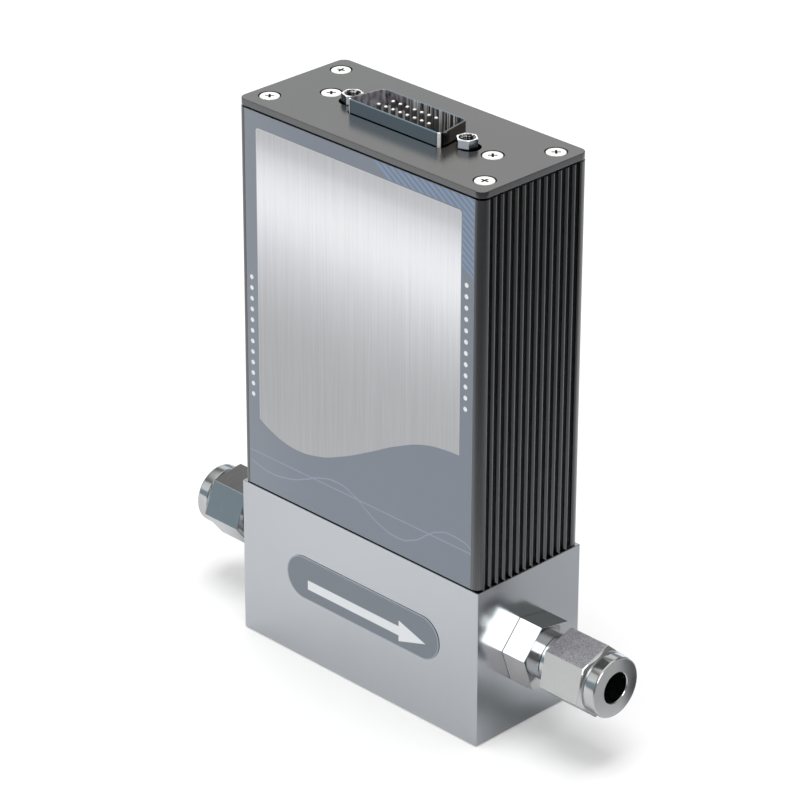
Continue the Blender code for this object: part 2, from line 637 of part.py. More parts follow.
def add_sensor():
    """Sensor base on its two seals, capillary with two heater windings, cover and screws."""
    outline = rectangle(2 * (SENSOR_SCREW_X + SENSOR_END_MARGIN), SENSOR_DEPTH, 1.0 * MM)
    holes = [circle(BYPASS_RADIUS, SMALL_STEPS, (x, y)) for _, x, y in mirrored_pair(BRANCH_X)]
    bolt_radius = SENSOR_SCREW_RADIUS + FIT_GAP
    holes += [circle(bolt_radius, SMALL_STEPS, (x, y)) for _, x, y in mirrored_pair(SENSOR_SCREW_X)]
    piece("sensor_base", prism([outline, *holes], SENSOR_BASE_LOW, SENSOR_BASE_HIGH), steel())

    for side, x, y in mirrored_pair(BRANCH_X):
        height = BLOCK_HEIGHT - FACE_GAP - SEAL_SECTION / 2
        ring = [(SEAL_RADIUS + u, height + v) for u, v in circle(SEAL_SECTION / 2, 6)]
        piece(f"sensor_{side}_seal", moved(turned(ring, SMALL_STEPS), x, y), rubber())
    for side, x, y in mirrored_pair(SENSOR_SCREW_X):
        seat = SENSOR_BASE_HIGH + FACE_GAP
        socket = SENSOR_SCREW_HEAD_RADIUS / 2
        profile = [
            (0, BLOCK_HEIGHT - SENSOR_SCREW_DEPTH),
            (SENSOR_SCREW_RADIUS, BLOCK_HEIGHT - SENSOR_SCREW_DEPTH),
            (SENSOR_SCREW_RADIUS, seat),
            (SENSOR_SCREW_HEAD_RADIUS, seat),
            (SENSOR_SCREW_HEAD_RADIUS, seat + SENSOR_SCREW_HEAD_HEIGHT),
            (socket, seat + SENSOR_SCREW_HEAD_HEIGHT),
            (socket, seat + SENSOR_SCREW_HEAD_HEIGHT / 2),
            (0, seat + SENSOR_SCREW_HEAD_HEIGHT / 2),
        ]
        piece(f"sensor_{side}_screw", moved(turned(profile, SMALL_STEPS), x, y), plated())

    path = sensor_tube_path()
    rings = [tube_ring(station, CAPILLARY_RADIUS) for station in path]
    rings += [tube_ring(station, CAPILLARY_BORE) for station in reversed(path)]
    piece("sensor_tube", lofted(rings), steel())
    run = SENSOR_BASE_HIGH + CAPILLARY_RISE
    copper = material("copper_winding", (0.55, 0.2, 0.08), 0.35, 1.0)
    for side, x, _ in mirrored_pair(WINDING_SPACING / 2):
        inner = CAPILLARY_RADIUS + FACE_GAP
        low, high = x - WINDING_LENGTH / 2, x + WINDING_LENGTH / 2
        section = [(inner, low), (WINDING_RADIUS, low), (WINDING_RADIUS, high), (inner, high)]
        along = Matrix.Translation((0, 0, run)) @ Matrix.Rotation(math.pi / 2, 4, "Y")
        piece(f"sensor_{side}_winding", turned(section, MIDDLE_STEPS), copper, along)

    outside = rectangle(SENSOR_COVER_LENGTH, SENSOR_DEPTH, 1.5 * MM)
    cover = piece("sensor_cover", prism([outside], SENSOR_COVER_LOW, SENSOR_COVER_HIGH), steel())
    room_length = SENSOR_COVER_LENGTH - 2 * SENSOR_COVER_WALL
    room_depth = SENSOR_DEPTH - 2 * SENSOR_COVER_WALL
    room = rectangle(room_length, room_depth, 0.5 * MM)
    room = prism([room], SENSOR_COVER_LOW - FIT_GAP, SENSOR_COVER_HIGH - SENSOR_COVER_WALL)
    boolean(cover, "sensor_room", room)


def grooved_side():
    """Outline of the housing's +X side from its front corner to its back corner."""
    x, y = HOUSING_HALF_X, HOUSING_HALF_Y
    corner = HOUSING_CORNER
    ridge = (GROOVE_PITCH - GROOVE_WIDTH) / 2
    root = min(GROOVE_WIDTH / 2, GROOVE_DEPTH - ridge)
    first = -GROOVE_PITCH * (GROOVE_COUNT - 1) / 2
    outline = arc((x - corner, -y + corner), corner, -90, 0)
    lip = GROOVE_LIP
    outline += arc((x - lip, first - GROOVE_WIDTH / 2 - lip), lip, 0, 90, 2)
    for groove in range(GROOVE_COUNT):
        middle = first + groove * GROOVE_PITCH
        bottom = (x - GROOVE_DEPTH + root, middle)
        outline += arc(bottom, GROOVE_WIDTH / 2, 270, 90, 4, root)
        if groove < GROOVE_COUNT - 1:
            outline += arc((x - ridge, middle + GROOVE_PITCH / 2), ridge, -90, 90, 6)
    outline += arc((x - lip, -first + GROOVE_WIDTH / 2 + lip), lip, -90, 0, 2)
    outline += arc((x - corner, y - corner), corner, 0, 90)
    return outline


def cavity_side():
    """Outline of the cavity's +X half, from front to back, with the screw bosses and the board's guide rib."""
    boss_x = COVER_SCREW_X - BOSS_SIZE
    boss_y = COVER_SCREW_Y - BOSS_SIZE
    corner = BOSS_CORNER
    rib_back = BOARD_Y - SLOT_WIDTH / 2
    rib_front = rib_back - GUIDE_RIB
    reach = CAVITY_HALF_X - GUIDE_RIB_REACH
    outline = [(boss_x, -CAVITY_HALF_Y)]
    outline += arc((boss_x + corner, -boss_y - corner), corner, 180, 90)
    outline += [(CAVITY_HALF_X, -boss_y), (CAVITY_HALF_X, rib_front), (reach, rib_front)]
    outline += [(reach, rib_back), (CAVITY_HALF_X, rib_back), (CAVITY_HALF_X, boss_y)]
    outline += arc((boss_x + corner, boss_y + corner), corner, -90, -180)
    outline += [(boss_x, CAVITY_HALF_Y)]
    return outline


def both_sides(side):
    """A closed outline from its +X half and the mirror image of that half."""
    return side + [(-x, y) for x, y in reversed(side)]


def corner_places(x, y):
    """The four places at plus and minus x and y."""
    return [(-x, -y), (x, -y), (x, y), (-x, y)]


def add_housing():
    """Ribbed housing extrusion with the label's recess in its front, and the gaskets below and above it."""
    recess_x = LABEL_HALF_X + FACE_GAP
    recess_y = -HOUSING_HALF_Y + LABEL_THICKNESS + FACE_GAP
    outside = both_sides(grooved_side())
    outside += [(-recess_x, -HOUSING_HALF_Y), (-recess_x, recess_y)]
    outside += [(recess_x, recess_y), (recess_x, -HOUSING_HALF_Y)]
    bores = [
        circle(COVER_SCREW_RADIUS + FIT_GAP, SMALL_STEPS, place)
        for place in corner_places(COVER_SCREW_X, COVER_SCREW_Y)
    ]
    section = [outside, both_sides(cavity_side()), *bores]
    piece("housing_shell", prism(section, HOUSING_LOW, HOUSING_HIGH), anodised())

    outer_x = HOUSING_HALF_X - GROOVE_DEPTH - GASKET_INSET
    outer_y = HOUSING_HALF_Y - LABEL_THICKNESS - GASKET_INSET
    gasket_outside = rectangle(2 * outer_x, 2 * outer_y, HOUSING_CORNER)
    gasket_inside = rectangle(2 * (outer_x - GASKET_WIDTH), 2 * (outer_y - GASKET_WIDTH), 1.0 * MM)
    for name, level in (("base_gasket", BLOCK_HEIGHT), ("top_gasket", HOUSING_HIGH)):
        gasket = prism([gasket_outside, gasket_inside], level + FACE_GAP, level + JOINT_GAP - FACE_GAP)
        piece(name, gasket, rubber())


def cover_screw_places():
    """The top plate's six screws: one at each corner and one over each post."""
    return corner_places(COVER_SCREW_X, COVER_SCREW_Y) + [(-POST_X, 0.0), (POST_X, 0.0)]


def add_top_plate():
    """Top plate with the connector's cut-out, the two jack screw holes and six countersunk holes."""
    outline = rectangle(2 * HOUSING_HALF_X, 2 * HOUSING_HALF_Y, PLATE_CORNER)
    jacks = [circle(JACK_HOLE_RADIUS, MIDDLE_STEPS, (x, y)) for _, x, y in mirrored_pair(JACK_X, CONNECTOR_Y)]
    plate = prism([outline, shell_outline(SHELL_CLEARANCE), *jacks], PLATE_LOW, PLATE_HIGH)
    plate = piece("top_plate", plate, material("satin_grey", (0.24, 0.24, 0.235), 0.35, 0.9))
    rim = COVER_HEAD_RADIUS + COUNTERSINK_MARGIN
    throat = COVER_SCREW_RADIUS + COUNTERSINK_MARGIN
    lip = COVER_HEAD_HEIGHT / 4
    profile = [
        (0, PLATE_LOW - FIT_GAP),
        (throat, PLATE_LOW - FIT_GAP),
        (throat, PLATE_HIGH - COVER_HEAD_HEIGHT),
        (rim, PLATE_HIGH - lip),
        (rim, PLATE_HIGH + FIT_GAP),
        (0, PLATE_HIGH + FIT_GAP),
    ]
    cutters = [moved(turned(profile, MIDDLE_STEPS), x, y) for x, y in cover_screw_places()]
    boolean(plate, "countersinks", combined(cutters))


def cross(reach, width, turn):
    """Outline of a four-armed driver recess."""
    half = width / 2
    arm = [(reach, -half), (reach, half), (half, half)]
    outline = []
    for quarter in range(4):
        angle = math.radians(turn + 90 * quarter)
        for x, y in arm:
            u = x * math.cos(angle) - y * math.sin(angle)
            v = x * math.sin(angle) + y * math.cos(angle)
            outline.append((u, v))
    return outline


def add_cover_screws():
    """Six countersunk screws with cross recesses."""
    drop = FACE_GAP
    high = PLATE_HIGH - drop
    low = high - COVER_SCREW_LENGTH
    lip = COVER_HEAD_HEIGHT / 4
    profile = [
        (0, low),
        (COVER_SCREW_RADIUS, low),
        (COVER_SCREW_RADIUS, high - COVER_HEAD_HEIGHT + lip),
        (COVER_HEAD_RADIUS, high - lip + drop),
        (COVER_HEAD_RADIUS, high),
        (0, high),
    ]
    for number, ((x, y), turn) in enumerate(zip(cover_screw_places(), RECESS_TURNS), 1):
        screw = piece(f"cover_screw_{number}", turned(profile, MIDDLE_STEPS), plated(), Matrix.Translation((x, y, 0)))
        recess = prism([cross(RECESS_REACH, RECESS_WIDTH, turn)], high - RECESS_DEPTH, high + FIT_GAP)
        boolean(screw, f"cross_recess_{number}", recess)


def pin_places():
    """Centres of the connector's pins: a front row, and a back row with one pin fewer."""
    places = []
    for count, y in ((PIN_FRONT_COUNT, -PIN_ROW_SPACING / 2), (PIN_FRONT_COUNT - 1, PIN_ROW_SPACING / 2)):
        places += [((index - (count - 1) / 2) * PIN_PITCH, CONNECTOR_Y + y) for index in range(count)]
    return places


def add_connector():
    """Connector: plated front and back shells round an insulator that carries fifteen round-nosed pins."""
    flange = rectangle(FLANGE_LENGTH, FLANGE_DEPTH, FLANGE_CORNER, (0.0, CONNECTOR_Y))
    bolts = [
        circle(JACK_THREAD_RADIUS + FIT_GAP, SMALL_STEPS, (x, y))
        for _, x, y in mirrored_pair(JACK_X, CONNECTOR_Y)
    ]
    mouth = shell_outline(-SHELL_WALL)
    front = prism([flange, mouth, *bolts], FLANGE_LOW, FLANGE_HIGH)
    front = piece("connector_front_shell", front, plated())
    wall_low = FLANGE_LOW + FLANGE_THICKNESS / 2
    wall = prism([shell_outline(0.0), mouth], wall_low, RIM_HIGH)
    boolean(front, "shell_wall", wall, "UNION")

    back_high = FLANGE_LOW - FACE_GAP
    back_low = back_high - FLANGE_THICKNESS
    back = prism([flange, shell_outline(0.0), *bolts], back_low, back_high)
    piece("connector_back_shell", back, plated())

    narrow = shell_outline(-SHELL_WALL - FIT_GAP)
    wide = shell_outline(-FIT_GAP)
    insulator_low = CONNECTOR_BOARD_HIGH + FACE_GAP
    insulator_face = FLANGE_HIGH + INSULATOR_FACE
    pin_low = CONNECTOR_BOARD_LOW - PIN_TAIL
    pin_high = RIM_HIGH - PIN_RECESS
    pin_profile = [(0, pin_low), (PIN_RADIUS, pin_low), (PIN_RADIUS, pin_high - PIN_RADIUS)]
    pin_profile += [(PIN_RADIUS * 0.75, pin_high - PIN_RADIUS * 0.4), (0, pin_high)]
    insulator = piece("connector_insulator", prism([wide], insulator_low, back_high), plastic())
    nose = prism([narrow], insulator_low + FIT_GAP, insulator_face)
    boolean(insulator, "insulator_nose", nose, "UNION")
    pins = [moved(turned(pin_profile, 8), x, y) for x, y in pin_places()]
    boolean(insulator, "connector_pins", combined(pins), "UNION")


def add_jack_screws():
    """Hexagonal jack screws with a threaded mouth, each with its nut below the flange."""
    turns = {"inlet": INLET_JACK_TURN, "outlet": OUTLET_JACK_TURN}
    for side, x, y in mirrored_pair(JACK_X, CONNECTOR_Y):
        low = FLANGE_HIGH + FACE_GAP
        high = low + JACK_HEIGHT
        body = prism([hexagon(JACK_ACROSS_FLATS, turns[side], (x, y))], low, high)
        jack = piece(f"{side}_jack_screw", body, plated())
        stud_low = FLANGE_LOW - JACK_STUD_LENGTH
        stud = hole(JACK_THREAD_RADIUS, stud_low, low + FIT_GAP, x, y)
        boolean(jack, f"{side}_jack_stud", stud, "UNION")
        mouth = hole(JACK_BORE_RADIUS, high - JACK_BORE_DEPTH, high + FIT_GAP, x, y)
        boolean(jack, f"{side}_jack_mouth", mouth)
        nut_high = FLANGE_LOW - FLANGE_THICKNESS - 2 * FACE_GAP
        nut_bore = circle(JACK_THREAD_RADIUS + FIT_GAP, SMALL_STEPS, (x, y))
        nut = prism([hexagon(JACK_NUT_ACROSS_FLATS, 0, (x, y)), nut_bore], nut_high - JACK_NUT_HEIGHT, nut_high)
        piece(f"{side}_jack_nut", nut, plated())


def add_posts():
    """Posts on the block that carry the connector board, and standoffs between that board and the top plate."""
    for side, x, y in mirrored_pair(POST_X):
        hexagonal = hexagon(POST_ACROSS_FLATS, 30, (x, y))
        low = BLOCK_HEIGHT + FACE_GAP
        high = CONNECTOR_BOARD_LOW - FACE_GAP
        post = piece(f"{side}_post", prism([hexagonal], low, high), plated())
        stud_low = BLOCK_HEIGHT - POST_STUD_LENGTH
        lower = hole(COVER_SCREW_RADIUS, stud_low, low + FIT_GAP, x, y)
        boolean(post, f"{side}_lower_stud", lower, "UNION")
        upper_high = CONNECTOR_BOARD_HIGH + POST_STUD_RISE
        upper = hole(COVER_SCREW_RADIUS, high - FIT_GAP, upper_high, x, y)
        boolean(post, f"{side}_upper_stud", upper, "UNION")
        standoff_low = CONNECTOR_BOARD_HIGH + FACE_GAP
        standoff_high = PLATE_LOW - FACE_GAP
        bore = circle(COVER_SCREW_RADIUS + FIT_GAP, SMALL_STEPS, (x, y))
        standoff = prism([hexagonal, bore], standoff_low, standoff_high)
        piece(f"{side}_standoff", standoff, plated())


def add_boards():
    """Connector board on the posts, main board in the housing's guides, and the main board's parts."""
    length = 2 * (POST_X + CONNECTOR_BOARD_END)
    depth = FLANGE_DEPTH + 2 * CONNECTOR_BOARD_SIDE
    outline = rectangle(length, depth, 1.0 * MM, (0.0, CONNECTOR_Y))
    holes = [
        circle(COVER_SCREW_RADIUS + FIT_GAP, SMALL_STEPS, (x, y)) for _, x, y in mirrored_pair(POST_X)
    ]
    holes += [circle(JACK_THREAD_RADIUS + FIT_GAP, SMALL_STEPS, (x, y))
              for _, x, y in mirrored_pair(JACK_X, CONNECTOR_Y)]
    holes += [circle(PIN_RADIUS + FIT_GAP, 8, place) for place in pin_places()]
    board = prism([outline, *holes], CONNECTOR_BOARD_LOW, CONNECTOR_BOARD_HIGH)
    piece("connector_board", board, circuit_green())

    half = CAVITY_HALF_X - FIT_GAP
    low = SENSOR_COVER_HIGH + MAIN_BOARD_ROOM
    high = CONNECTOR_BOARD_LOW - FIT_GAP
    upright = [(-half, BOARD_FRONT), (half, BOARD_FRONT)]
    upright += [(half, BOARD_FRONT + BOARD_THICKNESS), (-half, BOARD_FRONT + BOARD_THICKNESS)]
    piece("main_board", prism([upright], low, high), circuit_green())

    seat = BOARD_FRONT - FACE_GAP
    header = rectangle(HEADER_LENGTH, HEADER_DEPTH, 0.3 * MM, (0.0, seat - HEADER_DEPTH / 2), 1)
    header_high = CONNECTOR_BOARD_LOW - PIN_TAIL - FIT_GAP
    piece("board_header", prism([header], header_high - HEADER_HEIGHT, header_high), plastic())
    row = header_high - HEADER_HEIGHT - PART_ROW_SPACING
    processor = rectangle(PROCESSOR_SIDE, PROCESSOR_HEIGHT, 0.2 * MM, (0.0, seat - PROCESSOR_HEIGHT / 2), 1)
    piece("processor", prism([processor], row - PROCESSOR_SIDE / 2, row + PROCESSOR_SIDE / 2), plastic())
    regulator = rectangle(REGULATOR_SIDE, REGULATOR_HEIGHT, 0.2 * MM, (PART_ROW_SPACING, seat - REGULATOR_HEIGHT / 2), 1)
    piece("regulator", prism([regulator], row - REGULATOR_SIDE / 2, row + REGULATOR_SIDE / 2), plastic())
    can = prism([circle(CAPACITOR_RADIUS, MIDDLE_STEPS)], 0.0, CAPACITOR_HEIGHT)
    facing = Matrix.Translation((-PART_ROW_SPACING, seat, row)) @ Matrix.Rotation(math.pi / 2, 4, "X")
    piece("capacitor", can, material("can_aluminium", (0.6, 0.6, 0.6), 0.3, 1.0), facing)


def add_labels():
    """Front label in the housing's recess, and the pill-shaped flow label on the block."""
    film = material("label_blue_grey", (0.22, 0.26, 0.31), 0.4, 0.0)
    back = -HOUSING_HALF_Y + LABEL_THICKNESS
    front_label = [(-LABEL_HALF_X, -HOUSING_HALF_Y), (LABEL_HALF_X, -HOUSING_HALF_Y)]
    front_label += [(LABEL_HALF_X, back), (-LABEL_HALF_X, back)]
    piece("front_label", prism([front_label], HOUSING_LOW, HOUSING_HIGH), film)

    pill = rectangle(FLOW_LABEL_WIDTH, FLOW_LABEL_HEIGHT, FLOW_LABEL_HEIGHT / 2 - FACE_GAP, steps=8)
    facing = Matrix.Translation((FLOW_LABEL_X, -BLOCK_DEPTH / 2 - FACE_GAP, FLOW_LABEL_Z))
    facing = facing @ Matrix.Rotation(math.pi / 2, 4, "X")
    piece("flow_label", prism([pill], 0.0, LABEL_THICKNESS), film, facing)


def clear_scene():
    """Removes what the startup scene holds."""
    for old in list(bpy.data.objects):
        bpy.data.objects.remove(old)


def build():
    """Makes the whole meter."""
    clear_scene()
    root = bpy.data.objects.new("mass_flow_meter", None)
    bpy.context.scene.collection.objects.link(root)
    add_flow_block()
    add_fitting("inlet", INLET_NUT_TURN)
    add_fitting("outlet", OUTLET_NUT_TURN)
    add_flow_element()
    add_sensor()
    add_housing()
    add_top_plate()
    add_cover_screws()
    add_connector()
    add_jack_screws()
    add_posts()
    add_boards()
    add_labels()


if __name__ == "__main__":
    build()
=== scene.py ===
"""Looks of a gas mass flow meter: steel block, tube fittings, ribbed housing, printed films and connector.

Meshes are made in millimetres in the row frame and scaled to metres when they become objects.
"""

import json
import logging
import math
from collections.abc import Sequence
from dataclasses import dataclass, field
from enum import Enum
from typing import ClassVar

import bmesh
import bpy
from mathutils import Matrix, Vector

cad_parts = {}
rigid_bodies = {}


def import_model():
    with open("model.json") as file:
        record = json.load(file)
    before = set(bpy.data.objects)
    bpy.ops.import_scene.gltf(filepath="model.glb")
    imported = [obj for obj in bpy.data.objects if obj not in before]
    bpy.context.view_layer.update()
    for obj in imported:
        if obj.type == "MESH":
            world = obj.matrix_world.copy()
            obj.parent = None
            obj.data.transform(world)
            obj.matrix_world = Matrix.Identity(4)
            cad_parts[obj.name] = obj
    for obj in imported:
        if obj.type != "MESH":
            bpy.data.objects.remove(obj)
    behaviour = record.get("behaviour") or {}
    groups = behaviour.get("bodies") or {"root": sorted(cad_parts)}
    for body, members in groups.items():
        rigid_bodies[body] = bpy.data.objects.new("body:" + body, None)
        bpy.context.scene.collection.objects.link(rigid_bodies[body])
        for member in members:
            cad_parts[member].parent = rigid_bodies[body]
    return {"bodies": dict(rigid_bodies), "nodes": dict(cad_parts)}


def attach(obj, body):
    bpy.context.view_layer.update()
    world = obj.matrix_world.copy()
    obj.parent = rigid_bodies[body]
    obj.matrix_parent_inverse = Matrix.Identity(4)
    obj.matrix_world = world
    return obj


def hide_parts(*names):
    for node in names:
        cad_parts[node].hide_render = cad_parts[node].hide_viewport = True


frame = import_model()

LOG = logging.getLogger("mass_flow_meter")
MM = 0.001

Point2 = tuple[float, float]
Point3 = tuple[float, float, float]
Colour = tuple[float, float, float]


def tone(red: int, green: int, blue: int) -> Colour:
    """Gives the linear colour of a tone that is written as screen values.

    Args:
        red: Red, 0 to 255.
        green: Green, 0 to 255.
        blue: Blue, 0 to 255.

    Returns:
        The colour as three linear numbers.
    """
    shares = (red / 255, green / 255, blue / 255)
    linear = [share / 12.92 if share <= 0.04045 else ((share + 0.055) / 1.055) ** 2.4 for share in shares]
    return (linear[0], linear[1], linear[2])


WHITE = tone(255, 255, 255)


class Side(Enum):
    """The two ends of the meter along the gas flow."""

    INLET = "inlet"
    OUTLET = "outlet"

    @property
    def sign(self) -> int:
        """The side's direction along X."""
        return -1 if self is Side.INLET else 1


class Axis(Enum):
    """How a finish was worked, as the density of its grain along X, Y and Z per millimetre."""

    ALONG_Z = (7.0, 7.0, 0.03)
    ACROSS_X = (5.0, 0.3, 0.3)
    EVEN = (4.0, 4.0, 4.0)
    SPECKLED = (3.0, 3.0, 3.0)


class Sketch:
    """Short calls for building a node tree."""

    def __init__(self, tree: bpy.types.NodeTree) -> None:
        """Keeps the tree.

        Args:
            tree: The node tree to build in.
        """
        self.tree = tree

    def add(self, kind: str, **settings: object) -> bpy.types.Node:
        """Adds a node and sets its properties.

        Args:
            kind: The node's type.
            settings: Its properties by name.

        Returns:
            The node.
        """
        node = self.tree.nodes.new(kind)
        for name, value in settings.items():
            setattr(node, name, value)
        return node

    def feed(self, socket: bpy.types.NodeSocket, value: object) -> None:
        """Links a socket to an output, or sets its value.

        Args:
            socket: The input socket.
            value: An output socket, or the value.
        """
        if isinstance(value, bpy.types.NodeSocket):
            self.tree.links.new(value, socket)
        else:
            socket.default_value = value

    def math(self, operation: str, *values: object) -> bpy.types.NodeSocket:
        """Adds a Math node.

        Args:
            operation: The operation's name.
            values: Its inputs, each an output socket or a number.

        Returns:
            The node's output.
        """
        node = self.add("ShaderNodeMath", operation=operation)
        for socket, value in zip(node.inputs, values):
            self.feed(socket, value)
        return node.outputs[0]

    def step(self, value: object, low: float, high: float, first: float = 0.0,
             last: float = 1.0) -> bpy.types.NodeSocket:
        """Adds a smooth step from one level to another.

        Args:
            value: The input.
            low: Where the step starts.
            high: Where it ends.
            first: The level below the step.
            last: The level above it.

        Returns:
            The level.
        """
        node = self.add("ShaderNodeMapRange", interpolation_type="SMOOTHSTEP")
        names = ("Value", "From Min", "From Max", "To Min", "To Max")
        for name, item in zip(names, (value, low, high, first, last)):
            self.feed(node.inputs[name], item)
        return node.outputs["Result"]

    def between(self, value: object, rise: Point2, fall: Point2) -> bpy.types.NodeSocket:
        """Adds a mask that rises smoothly from 0 to 1 and falls back.

        Args:
            value: The input.
            rise: Where the rise starts and ends.
            fall: Where the fall starts and ends.

        Returns:
            The mask.
        """
        return self.math("MULTIPLY", self.step(value, *rise), self.step(value, *fall, 1.0, 0.0))

    def blend(self, share: object, first: object, second: object, mode: str = "MIX") -> bpy.types.NodeSocket:
        """Adds a colour mix.

        Args:
            share: How much of the second colour shows.
            first: A colour or an output.
            second: A colour or an output.
            mode: The blend mode.

        Returns:
            The mixed colour.
        """
        node = self.add("ShaderNodeMix", data_type="RGBA", blend_type=mode)
        for socket, value in ((node.inputs[0], share), (node.inputs[6], first), (node.inputs[7], second)):
            if isinstance(value, tuple):
                value = (*value, 1.0)
            self.feed(socket, value)
        return node.outputs[2]

    def curve(self, value: object, points: Sequence[Point2], low: Point2,
              high: Point2) -> bpy.types.NodeSocket:
        """Adds a free curve through points.

        Args:
            value: The input.
            points: The points that the curve passes through.
            low: The lowest input and output.
            high: The highest input and output.

        Returns:
            The curve's value at the input.
        """
        inward = self.add("ShaderNodeMapRange")
        for name, item in zip(("Value", "From Min", "From Max"), (value, low[0], high[0])):
            self.feed(inward.inputs[name], item)
        node = self.add("ShaderNodeFloatCurve")
        line = node.mapping.curves[0]
        shares = [((x - low[0]) / (high[0] - low[0]), (y - low[1]) / (high[1] - low[1])) for x, y in points]
        line.points[0].location = shares[0]
        line.points[1].location = shares[-1]
        for share in shares[1:-1]:
            line.points.new(*share)
        node.mapping.update()
        self.feed(node.inputs["Value"], inward.outputs["Result"])
        outward = self.add("ShaderNodeMapRange")
        for name, item in zip(("Value", "To Min", "To Max"), (node.outputs["Value"], low[1], high[1])):
            self.feed(outward.inputs[name], item)
        return outward.outputs["Result"]

    def colour(self, *shares: object) -> bpy.types.NodeSocket:
        """Adds a colour from its red, green and blue.

        Args:
            shares: The three parts, each an output or a number.

        Returns:
            The colour.
        """
        node = self.add("ShaderNodeCombineColor")
        for socket, share in zip(node.inputs, shares):
            self.feed(socket, share)
        return node.outputs[0]

    def millimetres(self) -> bpy.types.NodeSocket:
        """Gives Object coordinates in millimetres.

        Returns:
            The coordinates as one vector.
        """
        coords = self.add("ShaderNodeTexCoord")
        node = self.add("ShaderNodeVectorMath", operation="SCALE")
        self.feed(node.inputs[0], coords.outputs["Object"])
        node.inputs["Scale"].default_value = 1 / MM
        return node.outputs[0]

    def split(self, vector: bpy.types.NodeSocket) -> tuple[bpy.types.NodeSocket, ...]:
        """Splits a vector.

        Args:
            vector: The vector.

        Returns:
            Its X, Y and Z.
        """
        parts = self.add("ShaderNodeSeparateXYZ")
        self.feed(parts.inputs[0], vector)
        return tuple(parts.outputs)

    def relief(self, shader: bpy.types.Node, height: bpy.types.NodeSocket, strength: float,
               depth: float) -> None:
        """Gives a shader relief.

        Args:
            shader: The Principled node.
            height: The height, 0 to 1.
            strength: How strongly it shows.
            depth: Its full depth in millimetres.
        """
        bump = self.add("ShaderNodeBump")
        bump.inputs["Strength"].default_value = strength
        bump.inputs["Distance"].default_value = depth * MM
        self.feed(bump.inputs["Height"], height)
        self.feed(shader.inputs["Normal"], bump.outputs["Normal"])


